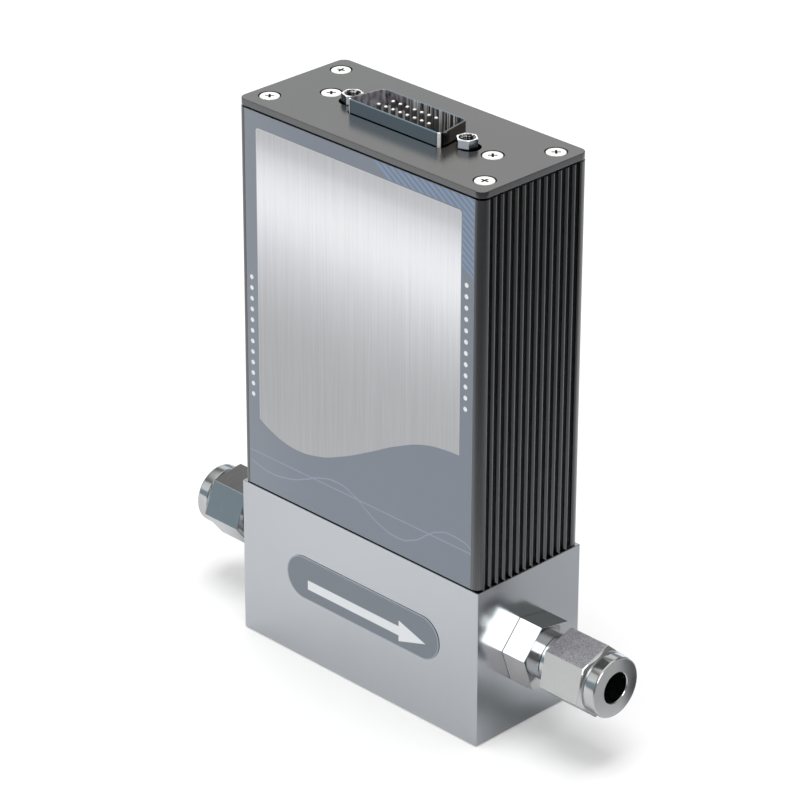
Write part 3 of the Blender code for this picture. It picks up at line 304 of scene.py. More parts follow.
class EffectGroups:
    """Shader groups that several finishes share. Each is built once."""

    PANEL_SOFTNESS: ClassVar[float] = 0.06
    DOT_SOFTNESS: ClassVar[float] = 0.08

    @staticmethod
    def _group(name: str, inputs: Sequence[tuple[str, str]], output: str) -> tuple[bpy.types.NodeTree, bool]:
        """Finds or starts a group.

        Args:
            name: The group's name.
            inputs: Its inputs, each a name and a kind of socket.
            output: The name of its one output.

        Returns:
            The group, and whether it is new.
        """
        tree = bpy.data.node_groups.get(name)
        if tree is not None:
            return tree, False
        tree = bpy.data.node_groups.new(name, "ShaderNodeTree")
        for label, kind in inputs:
            tree.interface.new_socket(label, in_out="INPUT", socket_type=kind)
        tree.interface.new_socket(output, in_out="OUTPUT", socket_type="NodeSocketFloat")
        return tree, True

    @classmethod
    def grain(cls) -> bpy.types.NodeTree:
        """Builds the group of fine lines or specks, whose density along each axis is an input.

        Returns:
            The group.
        """
        inputs = [("Point", "NodeSocketVector"), ("Density", "NodeSocketVector")]
        tree, new = cls._group("worked_grain", inputs, "Grain")
        if new:
            sketch = Sketch(tree)
            given = sketch.add("NodeGroupInput")
            scaled = sketch.add("ShaderNodeVectorMath", operation="MULTIPLY")
            sketch.feed(scaled.inputs[0], given.outputs["Point"])
            sketch.feed(scaled.inputs[1], given.outputs["Density"])
            noise = sketch.add("ShaderNodeTexNoise", noise_dimensions="3D")
            noise.inputs["Scale"].default_value = 1.0
            noise.inputs["Detail"].default_value = 3.0
            sketch.feed(noise.inputs["Vector"], scaled.outputs[0])
            spread = sketch.step(noise.outputs["Fac"], 0.3, 0.7)
            sketch.feed(sketch.add("NodeGroupOutput").inputs["Grain"], spread)
        return tree

    @classmethod
    def panel(cls) -> bpy.types.NodeTree:
        """Builds the group that gives the mask of a rounded rectangle in a plane.

        Returns:
            The group.
        """
        names = ("X", "Y", "Middle X", "Middle Y", "Half Width", "Half Height", "Corner")
        tree, new = cls._group("rounded_panel", [(name, "NodeSocketFloat") for name in names], "Mask")
        if new:
            sketch = Sketch(tree)
            given = sketch.add("NodeGroupInput").outputs
            reaches = []
            for name, middle, half in (("X", "Middle X", "Half Width"), ("Y", "Middle Y", "Half Height")):
                away = sketch.math("ABSOLUTE", sketch.math("SUBTRACT", given[name], given[middle]))
                flat = sketch.math("SUBTRACT", given[half], given["Corner"])
                reaches.append(sketch.math("MAXIMUM", sketch.math("SUBTRACT", away, flat), 0.0))
            squares = [sketch.math("MULTIPLY", reach, reach) for reach in reaches]
            distance = sketch.math("SQRT", sketch.math("ADD", *squares))
            outside = sketch.math("SUBTRACT", distance, given["Corner"])
            mask = sketch.step(outside, -cls.PANEL_SOFTNESS, cls.PANEL_SOFTNESS, 1.0, 0.0)
            sketch.feed(sketch.add("NodeGroupOutput").inputs["Mask"], mask)
        return tree

    @classmethod
    def dots(cls) -> bpy.types.NodeTree:
        """Builds the group that gives the mask of an upright row of round dots.

        Returns:
            The group.
        """
        names = ("X", "Y", "Column", "First", "Pitch", "Last Number", "Radius")
        tree, new = cls._group("dot_row", [(name, "NodeSocketFloat") for name in names], "Mask")
        if new:
            sketch = Sketch(tree)
            given = sketch.add("NodeGroupInput").outputs
            across = sketch.math("SUBTRACT", given["X"], given["Column"])
            rank = sketch.math("DIVIDE", sketch.math("SUBTRACT", given["Y"], given["First"]), given["Pitch"])
            nearest = sketch.math("ROUND", rank)
            nearest = sketch.math("MINIMUM", sketch.math("MAXIMUM", nearest, 0.0), given["Last Number"])
            along = sketch.math("MULTIPLY", sketch.math("SUBTRACT", rank, nearest), given["Pitch"])
            squares = [sketch.math("MULTIPLY", part, part) for part in (across, along)]
            distance = sketch.math("SQRT", sketch.math("ADD", *squares))
            outside = sketch.math("SUBTRACT", distance, given["Radius"])
            mask = sketch.step(outside, -cls.DOT_SOFTNESS, cls.DOT_SOFTNESS, 1.0, 0.0)
            sketch.feed(sketch.add("NodeGroupOutput").inputs["Mask"], mask)
        return tree

    @staticmethod
    def place(sketch: Sketch, tree: bpy.types.NodeTree, **values: object) -> bpy.types.NodeSocket:
        """Puts a group in a material.

        Args:
            sketch: The material's sketch.
            tree: The group.
            values: Its inputs by name, with spaces written as underscores.

        Returns:
            The group's output.
        """
        node = sketch.add("ShaderNodeGroup", node_tree=tree)
        for name, value in values.items():
            sketch.feed(node.inputs[name.replace("_", " ")], value)
        return node.outputs[0]

    @classmethod
    def worked(cls, sketch: Sketch, point: bpy.types.NodeSocket, *density: float) -> bpy.types.NodeSocket:
        """Puts the grain in a material.

        Args:
            sketch: The material's sketch.
            point: The point in millimetres.
            density: How close the grain lies along X, Y and Z.

        Returns:
            The grain, 0 to 1.
        """
        return cls.place(sketch, cls.grain(), Point=point, Density=density)


@dataclass(frozen=True)
class Finish:
    """A finish. Its material is made once, when a piece first needs it."""

    name: str
    colour: Colour
    roughness: float
    metallic: float = 0.0

    def material(self) -> bpy.types.Material:
        """Gives the finish's material.

        Returns:
            The material, made at the first call.
        """
        title = f"{self.name}_finish"
        made = bpy.data.materials.get(title)
        if made is None:
            made = bpy.data.materials.new(title)
            made.use_nodes = True
            shader = made.node_tree.nodes["Principled BSDF"]
            shader.inputs["Base Color"].default_value = (*self.colour, 1.0)
            shader.inputs["Roughness"].default_value = self.roughness
            shader.inputs["Metallic"].default_value = self.metallic
            made.diffuse_color = (*self.colour, 1.0)
            self.dress(Sketch(made.node_tree), shader)
        return made

    def dress(self, sketch: Sketch, shader: bpy.types.Node) -> None:
        """Adds what is special about the finish. The plain finish adds nothing."""


@dataclass(frozen=True)
class Worked(Finish):
    """Metal, rubber or plastic with a grain in its tone, gloss and relief."""

    CLOUD: ClassVar[float] = 0.11
    GRAIN_DEPTH: ClassVar[float] = 0.02

    axis: Axis = Axis.EVEN
    tone_spread: float = 0.04
    gloss_spread: float = 0.08
    relief: float = 0.05

    def dress(self, sketch: Sketch, shader: bpy.types.Node) -> None:
        """Adds the grain.

        Args:
            sketch: The material's sketch.
            shader: Its Principled node.
        """
        point = sketch.millimetres()
        grain = EffectGroups.worked(sketch, point, *self.axis.value)
        cloud = EffectGroups.worked(sketch, point, self.CLOUD, self.CLOUD, self.CLOUD)
        level = sketch.math("MULTIPLY_ADD", grain, 2 * self.tone_spread, 1 - self.tone_spread)
        clouded = sketch.math("MULTIPLY_ADD", cloud, self.tone_spread, 1 - self.tone_spread / 2)
        level = sketch.math("MULTIPLY", level, clouded)
        shade = sketch.colour(*[sketch.math("MULTIPLY", level, part) for part in self.colour])
        sketch.feed(shader.inputs["Base Color"], shade)
        gloss = sketch.math("MULTIPLY_ADD", grain, self.gloss_spread, self.roughness - self.gloss_spread / 2)
        sketch.feed(shader.inputs["Roughness"], gloss)
        sketch.relief(shader, grain, self.relief, self.GRAIN_DEPTH)


@dataclass(frozen=True)
class PaintedStreaks(Finish):
    """Metal with upright light, cool and dark streaks of painted reflection and painted shade.

    The streaks fade over an interval of X into a calm cloudy tone, which is painted lighter beyond end_x. A
    painted glint lies between two values of X, behind a value of Y and below a height.
    """

    WIDE: ClassVar[Point3] = (1.3, 1.3, 0.02)
    NARROW: ClassVar[Point3] = (3.1, 2.7, 0.05)
    MIDDLE: ClassVar[Point3] = (1.9, 2.3, 0.03)
    CLOUD: ClassVar[Point3] = (1.1, 1.1, 0.6)
    NARROW_SHARE: ClassVar[float] = 0.35
    COOL_STEP: ClassVar[Point2] = (0.35, 0.75)
    DARK_STEP: ClassVar[Point2] = (0.62, 0.74)
    DARK_MOST: ClassVar[float] = 0.8
    LIGHT_STEP: ClassVar[float] = 0.12

    light: Colour = tone(225, 224, 222)
    cool: Colour = tone(110, 132, 150)
    calm: Colour = tone(168, 160, 170)
    width: float = 1.0
    share: float = 0.5
    fade: Point2 = (-100.0, -99.0)
    end: Colour = tone(168, 160, 170)
    end_x: float = -100.0
    glint: tuple[float, float, float, float] = (0.0, 0.0, 0.0, 0.0)
    soft: float = 0.1

    def dress(self, sketch: Sketch, shader: bpy.types.Node) -> None:
        """Adds the painted streaks, the calm end with its painted light, and the painted glint.

        Args:
            sketch: The material's sketch.
            shader: Its Principled node.
        """
        point = sketch.millimetres()
        wide, narrow, middle = (
            EffectGroups.worked(sketch, point, along_x / self.width, along_y / self.width, along_z)
            for along_x, along_y, along_z in (self.WIDE, self.NARROW, self.MIDDLE))
        cloud = EffectGroups.worked(sketch, point, *self.CLOUD)
        # painted reflection: light, cool and dark streaks stand in for what the walls reflect
        colour = sketch.blend(sketch.step(narrow, *self.COOL_STEP), self.colour, self.cool)
        level = sketch.math("MULTIPLY", wide, 1 - self.NARROW_SHARE)
        level = sketch.math("MULTIPLY_ADD", narrow, self.NARROW_SHARE, level)
        lit = sketch.step(level, self.share, self.share + self.LIGHT_STEP)
        colour = sketch.blend(lit, colour, self.light)
        colour = sketch.blend(sketch.step(middle, *self.DARK_STEP, 0.0, self.DARK_MOST), colour, self.colour)
        x, y, z = sketch.split(point)
        # painted light: the calm tone is lighter on the end wall
        end = sketch.blend(cloud, self.calm, self.end)
        calm = sketch.blend(cloud, self.colour, self.calm)
        calm = sketch.blend(sketch.step(x, self.end_x, self.end_x + 4 * self.soft), end, calm)
        colour = sketch.blend(sketch.step(x, *self.fade), calm, colour)
        # painted glint: a white patch on the back wall, low down
        left, right, back, top = ((place - self.soft, place + self.soft) for place in self.glint)
        across = sketch.between(x, left, right)
        behind = sketch.step(y, *back)
        below = sketch.step(z, *top, 1.0, 0.0)
        glint = sketch.math("MULTIPLY", across, sketch.math("MULTIPLY", behind, below))
        colour = sketch.blend(glint, colour, WHITE)
        sketch.feed(shader.inputs["Base Color"], colour)


@dataclass(frozen=True)
class Banded(Finish):
    """Bright metal whose tone changes at given heights in millimetres. Here the near-black low bands are
    painted shade and the white top bands are painted highlights.
    """

    SOFTNESS: ClassVar[float] = 0.05

    bands: tuple[tuple[float, Colour], ...] = ()

    def dress(self, sketch: Sketch, shader: bpy.types.Node) -> None:
        """Adds the bands from the lowest to the highest.

        Args:
            sketch: The material's sketch.
            shader: Its Principled node.
        """
        height = sketch.split(sketch.millimetres())[2]
        colour = self.colour
        for start, tint in self.bands:
            share = sketch.step(height, start - self.SOFTNESS, start + self.SOFTNESS)
            colour = sketch.blend(share, colour, tint)
        sketch.feed(shader.inputs["Base Color"], colour)


@dataclass(frozen=True)
class PaintedLightShell(Finish):
    """Bright shell with a painted highlight and a streak of painted shade down each front corner, and ends
    painted greyer as shade.

    The streaks lie by the angle round the corner, which is 0 degrees at the end and -90 at the front.
    """

    LIGHT_RISE: ClassVar[Point2] = (-77.0, -68.0)
    LIGHT_FALL: ClassVar[Point2] = (-42.0, -36.0)
    DARK_RISE: ClassVar[Point2] = (-40.0, -34.0)
    END_RISE: ClassVar[Point2] = (-12.0, -4.0)
    END_FALL: ClassVar[Point2] = (94.0, 100.0)

    corner: Point2 = (12.33, -3.9)
    light: Colour = tone(252, 252, 252)
    dark: Colour = tone(42, 39, 38)
    end: Colour = tone(140, 136, 132)

    def dress(self, sketch: Sketch, shader: bpy.types.Node) -> None:
        """Adds the painted highlight, the painted shade and the greyer ends.

        Args:
            sketch: The material's sketch.
            shader: Its Principled node.
        """
        x, y, _ = sketch.split(sketch.millimetres())
        across = sketch.math("SUBTRACT", sketch.math("ABSOLUTE", x), self.corner[0])
        along = sketch.math("SUBTRACT", y, self.corner[1])
        angle = sketch.math("DEGREES", sketch.math("ARCTAN2", along, across))
        # painted highlight and painted shade by the angle round each front corner, and painted shade on the
        # ends
        light = sketch.between(angle, self.LIGHT_RISE, self.LIGHT_FALL)
        dark = sketch.between(angle, self.DARK_RISE, self.END_RISE)
        end = sketch.between(angle, self.END_RISE, self.END_FALL)
        colour = sketch.blend(end, self.colour, self.end)
        colour = sketch.blend(dark, colour, self.dark)
        colour = sketch.blend(light, colour, self.light)
        sketch.feed(shader.inputs["Base Color"], colour)
        # the painted highlight is not metallic, so it stays light
        metallic = sketch.math("MULTIPLY_ADD", light, -self.metallic, self.metallic)
        sketch.feed(shader.inputs["Metallic"], metallic)


@dataclass(frozen=True)
class Film(Finish):
    """Printed film. X runs from the block's inlet end and Y is the height, both in millimetres."""

    OFFSET: ClassVar[float] = 36.0
    LINE_SOFTNESS: ClassVar[float] = 0.06

    def plane(self, sketch: Sketch) -> tuple[bpy.types.NodeSocket, bpy.types.NodeSocket]:
        """Gives the two coordinates of the print."""
        x, _, z = sketch.split(sketch.millimetres())
        return sketch.math("ADD", x, self.OFFSET), z

    def line(self, sketch: Sketch, offset: bpy.types.NodeSocket, half_width: float) -> bpy.types.NodeSocket:
        """Gives the mask of a line.

        Args:
            sketch: The material's sketch.
            offset: The distance from the line's middle.
            half_width: Half the line's width.

        Returns:
            The mask.
        """
        away = sketch.math("ABSOLUTE", offset)
        soft = self.LINE_SOFTNESS
        return sketch.step(away, half_width - soft, half_width + soft, 1.0, 0.0)


@dataclass(frozen=True)
class FrontFilm(Film):
    """The housing's film: a brushed silver window on blue grey, with a wave, stripes, dots and fine lines."""

    window_left: float = 5.83
    window_right: float = 66.0
    window_top: float = 122.3
    window_reach: float = 40.0
    window_corner: float = 0.7
    window_rim: float = 0.18
    rim_share: float = 0.35
    rim_tone: Colour = tone(226, 229, 233)
    wave: tuple[Point2, ...] = (
        (5.83, 54.1), (9.6, 52.3), (13.6, 51.1), (18.0, 50.7), (24.0, 51.6), (31.3, 54.3), (39.7, 58.5),
        (48.0, 62.9), (56.3, 66.2), (61.3, 67.1), (66.0, 67.4),
    )
    wave_span: Point2 = (50.0, 68.0)
    stripe_pitch: float = 1.22
    stripe_angle: float = math.radians(33.7)
    stripe_first: float = 127.56
    stripe_edge: Point2 = (0.18, 0.32)
    stripe_corner: float = 0.1
    stripe_ground_share: float = 0.8
    stripe_tone: Colour = tone(129, 156, 192)
    stripe_ground: Colour = tone(128, 133, 142)
    stripe_areas: tuple[tuple[float, float, float, float, float], ...] = (
        (54.0, 124.15, 15.5, 1.5, 127.2), (67.9, 114.0, 1.6, 12.0, 128.6),
    )
    dot_pitch: float = 2.53
    dot_radius: float = 0.53
    dot_last: float = 11.0
    dot_rows: tuple[Point2, ...] = ((3.9, 59.5), (67.6, 78.6))
    dot_tone: Colour = tone(244, 248, 251)
    swing: tuple[Point2, ...] = (
        (2.0, 43.7), (5.4, 42.5), (9.2, 42.0), (13.6, 42.5), (20.0, 44.6), (25.0, 46.7), (29.7, 47.5),
        (34.5, 46.4), (39.0, 44.0), (43.5, 42.0), (48.0, 41.2), (52.5, 42.3), (57.0, 45.3), (60.5, 47.3),
        (63.8, 48.0), (69.6, 46.8),
    )
    swing_span: Point2 = (40.0, 49.0)
    swing_half: float = 0.17
    hair_height: float = 45.7
    hair_half: float = 0.15
    hair_share: float = 0.75
    hair_fade: Point2 = (2.2, 3.6)
    hair_least: float = 0.2
    hair_tone: Colour = tone(154, 165, 190)
    inlet_fade: Point2 = (2.0, 24.0)
    inlet_tone: Colour = tone(139, 146, 156)
    silver: tuple[Point2, ...] = (
        (50.0, 170.0), (74.0, 172.0), (80.0, 177.0), (86.0, 187.0), (90.0, 196.0), (96.0, 212.0),
        (102.0, 229.0), (107.0, 236.0), (111.0, 232.0), (116.0, 215.0), (120.0, 191.0), (123.0, 184.0),
    )
    silver_gamma: float = 2.2
    silver_gain: float = 1.16
    silver_slope: float = 0.00022
    silver_tint: Colour = (0.985, 1.0, 1.035)
    silver_metallic: float = 0.15
    brush: Point3 = (4.5, 1.0, 0.035)
    brush_spread: float = 0.028
    fine: Point3 = (14.0, 1.0, 0.09)
    fine_spread: float = 0.03
    fine_gloss: float = 0.08
    fine_relief: float = 0.08
    fine_depth: float = 0.02

    def stripes(self, sketch: Sketch, x: bpy.types.NodeSocket,
                y: bpy.types.NodeSocket) -> tuple[bpy.types.NodeSocket, bpy.types.NodeSocket]:
        """Gives the striped area along the top and the right, and its slanting stripes.

        Args:
            sketch: The material's sketch.
            x: The print's X.
            y: The print's Y.

        Returns:
            The masks of the area and of the stripes.
        """
        slanted_x = sketch.math("MULTIPLY", x, math.sin(self.stripe_angle))
        slanted = sketch.math("MULTIPLY_ADD", y, math.cos(self.stripe_angle), slanted_x)
        rank = sketch.math("DIVIDE", sketch.math("SUBTRACT", slanted, self.stripe_first), self.stripe_pitch)
        wave = sketch.math("ABSOLUTE", sketch.math("SUBTRACT", sketch.math("FRACT", rank), 0.5))
        areas = []
        for middle_x, middle_y, half_width, half_height, start in self.stripe_areas:
            area = EffectGroups.place(
                sketch, EffectGroups.panel(), X=x, Y=y, Middle_X=middle_x, Middle_Y=middle_y,
                Half_Width=half_width, Half_Height=half_height, Corner=self.stripe_corner)
            begun = sketch.step(slanted, start, start + 2 * self.LINE_SOFTNESS)
            areas.append(sketch.math("MULTIPLY", area, begun))
        return sketch.math("MAXIMUM", *areas), sketch.step(wave, *self.stripe_edge)

    def window(self, sketch: Sketch, x: bpy.types.NodeSocket,
               y: bpy.types.NodeSocket) -> list[bpy.types.NodeSocket]:
        """Gives the window, whose lower edge is the wave.

        Args:
            sketch: The material's sketch.
            x: The print's X.
            y: The print's Y.

        Returns:
            The masks of the whole window and of what its rim holds.
        """
        half_width = (self.window_right - self.window_left) / 2
        middle_x = (self.window_right + self.window_left) / 2
        low, high = self.wave_span
        wave = sketch.curve(x, self.wave, (self.window_left, low), (self.window_right, high))
        above = sketch.step(sketch.math("SUBTRACT", y, wave), -self.LINE_SOFTNESS, self.LINE_SOFTNESS)
        masks = []
        for inset in (0.0, self.window_rim):
            box = EffectGroups.place(
                sketch, EffectGroups.panel(), X=x, Y=y, Middle_X=middle_x,
                Middle_Y=self.window_top - self.window_reach, Half_Width=half_width - inset,
                Half_Height=self.window_reach - inset, Corner=self.window_corner - inset / 2)
            masks.append(sketch.math("MULTIPLY", box, above))
        return masks

    def brushed(self, sketch: Sketch, x: bpy.types.NodeSocket, y: bpy.types.NodeSocket,
                fine: bpy.types.NodeSocket) -> bpy.types.NodeSocket:
        """Gives the brushed silver, whose tone changes with the height.

        Args:
            sketch: The material's sketch.
            x: The print's X.
            y: The print's Y.
            fine: The finest brush lines.

        Returns:
            The colour.
        """
        levels = [(height, value / 255) for height, value in self.silver]
        level = sketch.curve(y, levels, (levels[0][0], 0.0), (levels[-1][0], 1.0))
        brush = EffectGroups.worked(sketch, sketch.millimetres(), *self.brush)
        for grain, spread in ((brush, self.brush_spread), (fine, self.fine_spread)):
            level = sketch.math("ADD", level, sketch.math("MULTIPLY_ADD", grain, spread, -spread / 2))
        level = sketch.math("MULTIPLY_ADD", x, self.silver_slope, level)
        linear = sketch.math("MULTIPLY", sketch.math("POWER", level, self.silver_gamma), self.silver_gain)
        return sketch.colour(*[sketch.math("MULTIPLY", linear, share) for share in self.silver_tint])

    def ground(self, sketch: Sketch, x: bpy.types.NodeSocket,
               y: bpy.types.NodeSocket) -> bpy.types.NodeSocket:
        """Gives the blue grey ground with its stripes, fine lines and dots.

        Args:
            sketch: The material's sketch.
            x: The print's X.
            y: The print's Y.

        Returns:
            The colour.
        """
        ground = sketch.blend(sketch.step(x, *self.inlet_fade), self.inlet_tone, self.colour)
        area, stripe = self.stripes(sketch, x, y)
        calm = sketch.math("MULTIPLY", area, self.stripe_ground_share)
        ground = sketch.blend(calm, ground, self.stripe_ground)
        ground = sketch.blend(sketch.math("MULTIPLY", area, stripe), ground, self.stripe_tone)
        hair = self.line(sketch, sketch.math("SUBTRACT", y, self.hair_height), self.hair_half)
        low, high = self.swing_span
        swing = sketch.curve(x, self.swing, (self.swing[0][0], low), (self.swing[-1][0], high))
        bend = self.line(sketch, sketch.math("SUBTRACT", y, swing), self.swing_half)
        faded = sketch.step(x, *self.hair_fade, self.hair_least, 1.0)
        hairs = sketch.math("MULTIPLY", sketch.math("MAXIMUM", hair, bend), faded)
        ground = sketch.blend(sketch.math("MULTIPLY", hairs, self.hair_share), ground, self.hair_tone)
        rows = [EffectGroups.place(sketch, EffectGroups.dots(), X=x, Y=y, Column=column, First=first,
                                   Pitch=self.dot_pitch, Last_Number=self.dot_last, Radius=self.dot_radius)
                for column, first in self.dot_rows]
        return sketch.blend(sketch.math("MAXIMUM", *rows), ground, self.dot_tone)

    def dress(self, sketch: Sketch, shader: bpy.types.Node) -> None:
        """Prints the film.

        Args:
            sketch: The material's sketch.
            shader: Its Principled node.
        """
        x, y = self.plane(sketch)
        whole, inner = self.window(sketch, x, y)
        fine = EffectGroups.worked(sketch, sketch.millimetres(), *self.fine)
        silver = self.brushed(sketch, x, y, fine)
        rim = sketch.blend(self.rim_share, silver, self.rim_tone)
        printed = sketch.blend(whole, self.ground(sketch, x, y), rim)
        printed = sketch.blend(inner, printed, silver)
        sketch.feed(shader.inputs["Base Color"], printed)
        sketch.feed(shader.inputs["Metallic"], sketch.math("MULTIPLY", inner, self.silver_metallic))
        gloss = sketch.math("MULTIPLY_ADD", fine, self.fine_gloss, self.roughness)
        sketch.feed(shader.inputs["Roughness"], gloss)
        sketch.relief(shader, sketch.math("MULTIPLY", fine, inner), self.fine_relief, self.fine_depth)


@dataclass(frozen=True)
class FlowFilm(Film):
    """The pill-shaped film on the block, with a white arrow along the gas flow."""

    shaft: tuple[float, float, float, float] = (20.7, 49.2, 17.75, 20.0)
    shaft_corner: float = 0.05
    head: tuple[float, float, float, float] = (48.8, 56.9, 16.35, 21.45)
    head_softness: float = 0.05
    arrow_tone: Colour = tone(240, 243, 246)
    middle: Point2 = (37.5, 20.2)
    half: Point2 = (23.3, 5.2)
    rim: float = 0.3
    rim_tone: Colour = tone(160, 167, 176)
    grain: Point3 = (3.0, 3.0, 3.0)
    gloss_spread: float = 0.06

    def arrow(self, sketch: Sketch, x: bpy.types.NodeSocket, y: bpy.types.NodeSocket) -> bpy.types.NodeSocket:
        """Gives the arrow.

        Args:
            sketch: The material's sketch.
            x: The print's X.
            y: The print's Y.

        Returns:
            Its mask.
        """
        left, right, low, high = self.shaft
        bar = EffectGroups.place(
            sketch, EffectGroups.panel(), X=x, Y=y, Middle_X=(left + right) / 2, Middle_Y=(low + high) / 2,
            Half_Width=(right - left) / 2, Half_Height=(high - low) / 2, Corner=self.shaft_corner)
        back, tip, under, over = self.head
        soft = self.head_softness
        off_axis = sketch.math("ABSOLUTE", sketch.math("SUBTRACT", y, (under + over) / 2))
        slope = (over - under) / 2 / (tip - back)
        room = sketch.math("MULTIPLY", sketch.math("SUBTRACT", tip, x), slope)
        inside = sketch.step(sketch.math("SUBTRACT", room, off_axis), -soft, soft)
        point = sketch.math("MULTIPLY", inside, sketch.step(x, back - soft, back + soft))
        return sketch.math("MAXIMUM", bar, point)

    def dress(self, sketch: Sketch, shader: bpy.types.Node) -> None:
        """Prints the film.

        Args:
            sketch: The material's sketch.
            shader: Its Principled node.
        """
        x, y = self.plane(sketch)
        half_width, half_height = (size - self.rim for size in self.half)
        face = EffectGroups.place(
            sketch, EffectGroups.panel(), X=x, Y=y, Middle_X=self.middle[0], Middle_Y=self.middle[1],
            Half_Width=half_width, Half_Height=half_height, Corner=half_height - 0.05)
        printed = sketch.blend(face, self.rim_tone, self.colour)
        printed = sketch.blend(self.arrow(sketch, x, y), printed, self.arrow_tone)
        sketch.feed(shader.inputs["Base Color"], printed)
        grain = EffectGroups.worked(sketch, sketch.millimetres(), *self.grain)
        gloss = sketch.math("MULTIPLY_ADD", grain, self.gloss_spread, self.roughness)
        sketch.feed(shader.inputs["Roughness"], gloss)


@dataclass(frozen=True)
class Winding(Finish):
    """Fine wire wound in close turns round X."""

    turns_per_mm: float = 4.0
    gap_tone: float = 0.35
    wire_relief: float = 0.6
    wire_depth: float = 0.05

    def dress(self, sketch: Sketch, shader: bpy.types.Node) -> None:
        """Adds the turns of wire as light and dark bands with relief.

        Args:
            sketch: The material's sketch.
            shader: Its Principled node.
        """
        along = sketch.split(sketch.millimetres())[0]
        angle = sketch.math("MULTIPLY", along, math.tau * self.turns_per_mm)
        band = sketch.math("MULTIPLY_ADD", sketch.math("SINE", angle), 0.5, 0.5)
        dark = tuple(part * self.gap_tone for part in self.colour)
        sketch.feed(shader.inputs["Base Color"], sketch.blend(band, dark, self.colour))
        sketch.relief(shader, band, self.wire_relief, self.wire_depth)


@dataclass(frozen=True)
class Finishes:
    """Every finish of the meter.

    A finish says its name, colour, roughness and metallic share. A worked one goes on with its grain, and how
    strongly that shows in tone, gloss and relief.
    """

    block_steel: Finish = Worked(
        "block_steel", tone(192, 196, 201), 0.175, 1.0, Axis.ALONG_Z, 0.012, 0.03, 0.012)
    turned_steel: Finish = Worked(
        "turned_steel", tone(204, 206, 208), 0.13, 1.0, Axis.ACROSS_X, 0.02, 0.04, 0.02)
    # painted light: lighter, more diffuse copies of the turned steel for the outlet nut's facets, speckled on
    # its upper facets
    facet_steel: Finish = Worked("facet_steel", tone(205, 207, 206), 0.3, 0.62, Axis.EVEN, 0.03, 0.04, 0.02)
    speckled_steel: Finish = Worked(
        "speckled_steel", tone(194, 192, 199), 0.3, 0.62, Axis.SPECKLED, 0.28, 0.04, 0.02)
    # painted light: a lighter, less metallic copy of the turned steel for the fitting bodies' lower front
    # facets
    lit_lower_facet_steel: Finish = Worked("lit_lower_facet_steel", tone(221, 217, 216), 0.2, 0.7, Axis.EVEN, 0.02, 0.04, 0.02)
    inner_steel: Finish = Worked("inner_steel", tone(196, 198, 200), 0.3, 1.0, Axis.EVEN, 0.04, 0.1, 0.05)
    plating: Finish = Worked("bright_plating", tone(206, 209, 213), 0.14, 1.0, Axis.EVEN, 0.03, 0.06, 0.03)
    screw_steel: Finish = Worked("screw_steel", tone(253, 253, 250), 0.35, 0.1, Axis.EVEN, 0.01, 0.05, 0.02)
    # painted shade: the jack screws turn near black low down, near the plate; their facets turned to the lamp
    # and their chamfer are painted highlights
    jack_plating: Finish = Banded(
        "jack_plating", tone(10, 10, 11), 0.2, 0.9, bands=((127.85, tone(122, 132, 140)),))
    jack_facet: Finish = Banded(
        "jack_facet", tone(10, 10, 11), 0.3, 0.2, bands=((127.9, tone(222, 230, 243)),))
    jack_rim: Finish = Finish("jack_rim", tone(252, 252, 252), 0.25, 0.1)
    # painted shade: the jack screw's mouth is near black, with sparse streaks of painted highlight on its
    # thread
    jack_mouth: Finish = PaintedStreaks(
        "jack_mouth", tone(8, 8, 9), 0.3, 0.2, cool=tone(8, 8, 9), width=0.6, share=0.6)
    # painted highlight: the pins' round tips are white
    pin_metal: Finish = Banded("pin_metal", tone(104, 102, 100), 0.2, 0.2, bands=((130.4, WHITE),))
    # painted highlight and painted shade down the shell's front corners, and greyer ends as painted shade
    shell_plating: Finish = PaintedLightShell("shell_plating", tone(144, 162, 176), 0.1, 1.0)
    # painted reflection and painted light: streaks on the shell's inner walls, a lighter end wall and a white
    # glint on the back wall
    shell_inside: Finish = PaintedStreaks(
        "shell_inside", tone(62, 57, 56), 0.25, 0.3, light=tone(246, 245, 243), width=0.62, share=0.46,
        fade=(-8.0, -3.0), end=tone(242, 242, 250), end_x=-11.5, glint=(-10.5, -5.6, 3.3, 127.6))
    # painted shade: near black in the screws' cross recesses, the countersinks and the jack holes
    painted_recess_shade: Finish = Worked("painted_recess_shade", tone(20, 20, 21), 0.45, 0.3, Axis.EVEN, 0.1, 0.1, 0.05)
    anodised: Finish = Worked("dark_anodised", tone(118, 119, 121), 0.28, 1.0, Axis.ALONG_Z, 0.04, 0.05, 0.03)
    plate_grey: Finish = Worked("satin_grey", tone(134, 132, 131), 0.23, 0.9, Axis.EVEN, 0.02, 0.04, 0.02)
    plate_edge: Finish = Worked("plate_edge", tone(119, 120, 122), 0.3, 1.0, Axis.EVEN, 0.02, 0.04, 0.03)
    rubber: Finish = Worked("black_rubber", tone(22, 22, 23), 0.7, 0.0, Axis.EVEN, 0.1, 0.1, 0.1)
    plastic: Finish = Worked("black_plastic", tone(32, 33, 35), 0.42, 0.0, Axis.EVEN, 0.08, 0.1, 0.08)
    board: Finish = Worked("circuit_green", tone(24, 96, 58), 0.35, 0.0, Axis.EVEN, 0.1, 0.1, 0.06)
    can: Finish = Worked("drawn_can", tone(205, 206, 208), 0.25, 1.0, Axis.EVEN, 0.03, 0.05, 0.03)
    copper: Finish = Winding("copper_winding", tone(196, 116, 70), 0.3, 1.0)
    front_film: Finish = FrontFilm("front_film", tone(131, 139, 150), 0.42)
    flow_film: Finish = FlowFilm("flow_film", tone(125, 133, 142), 0.42)


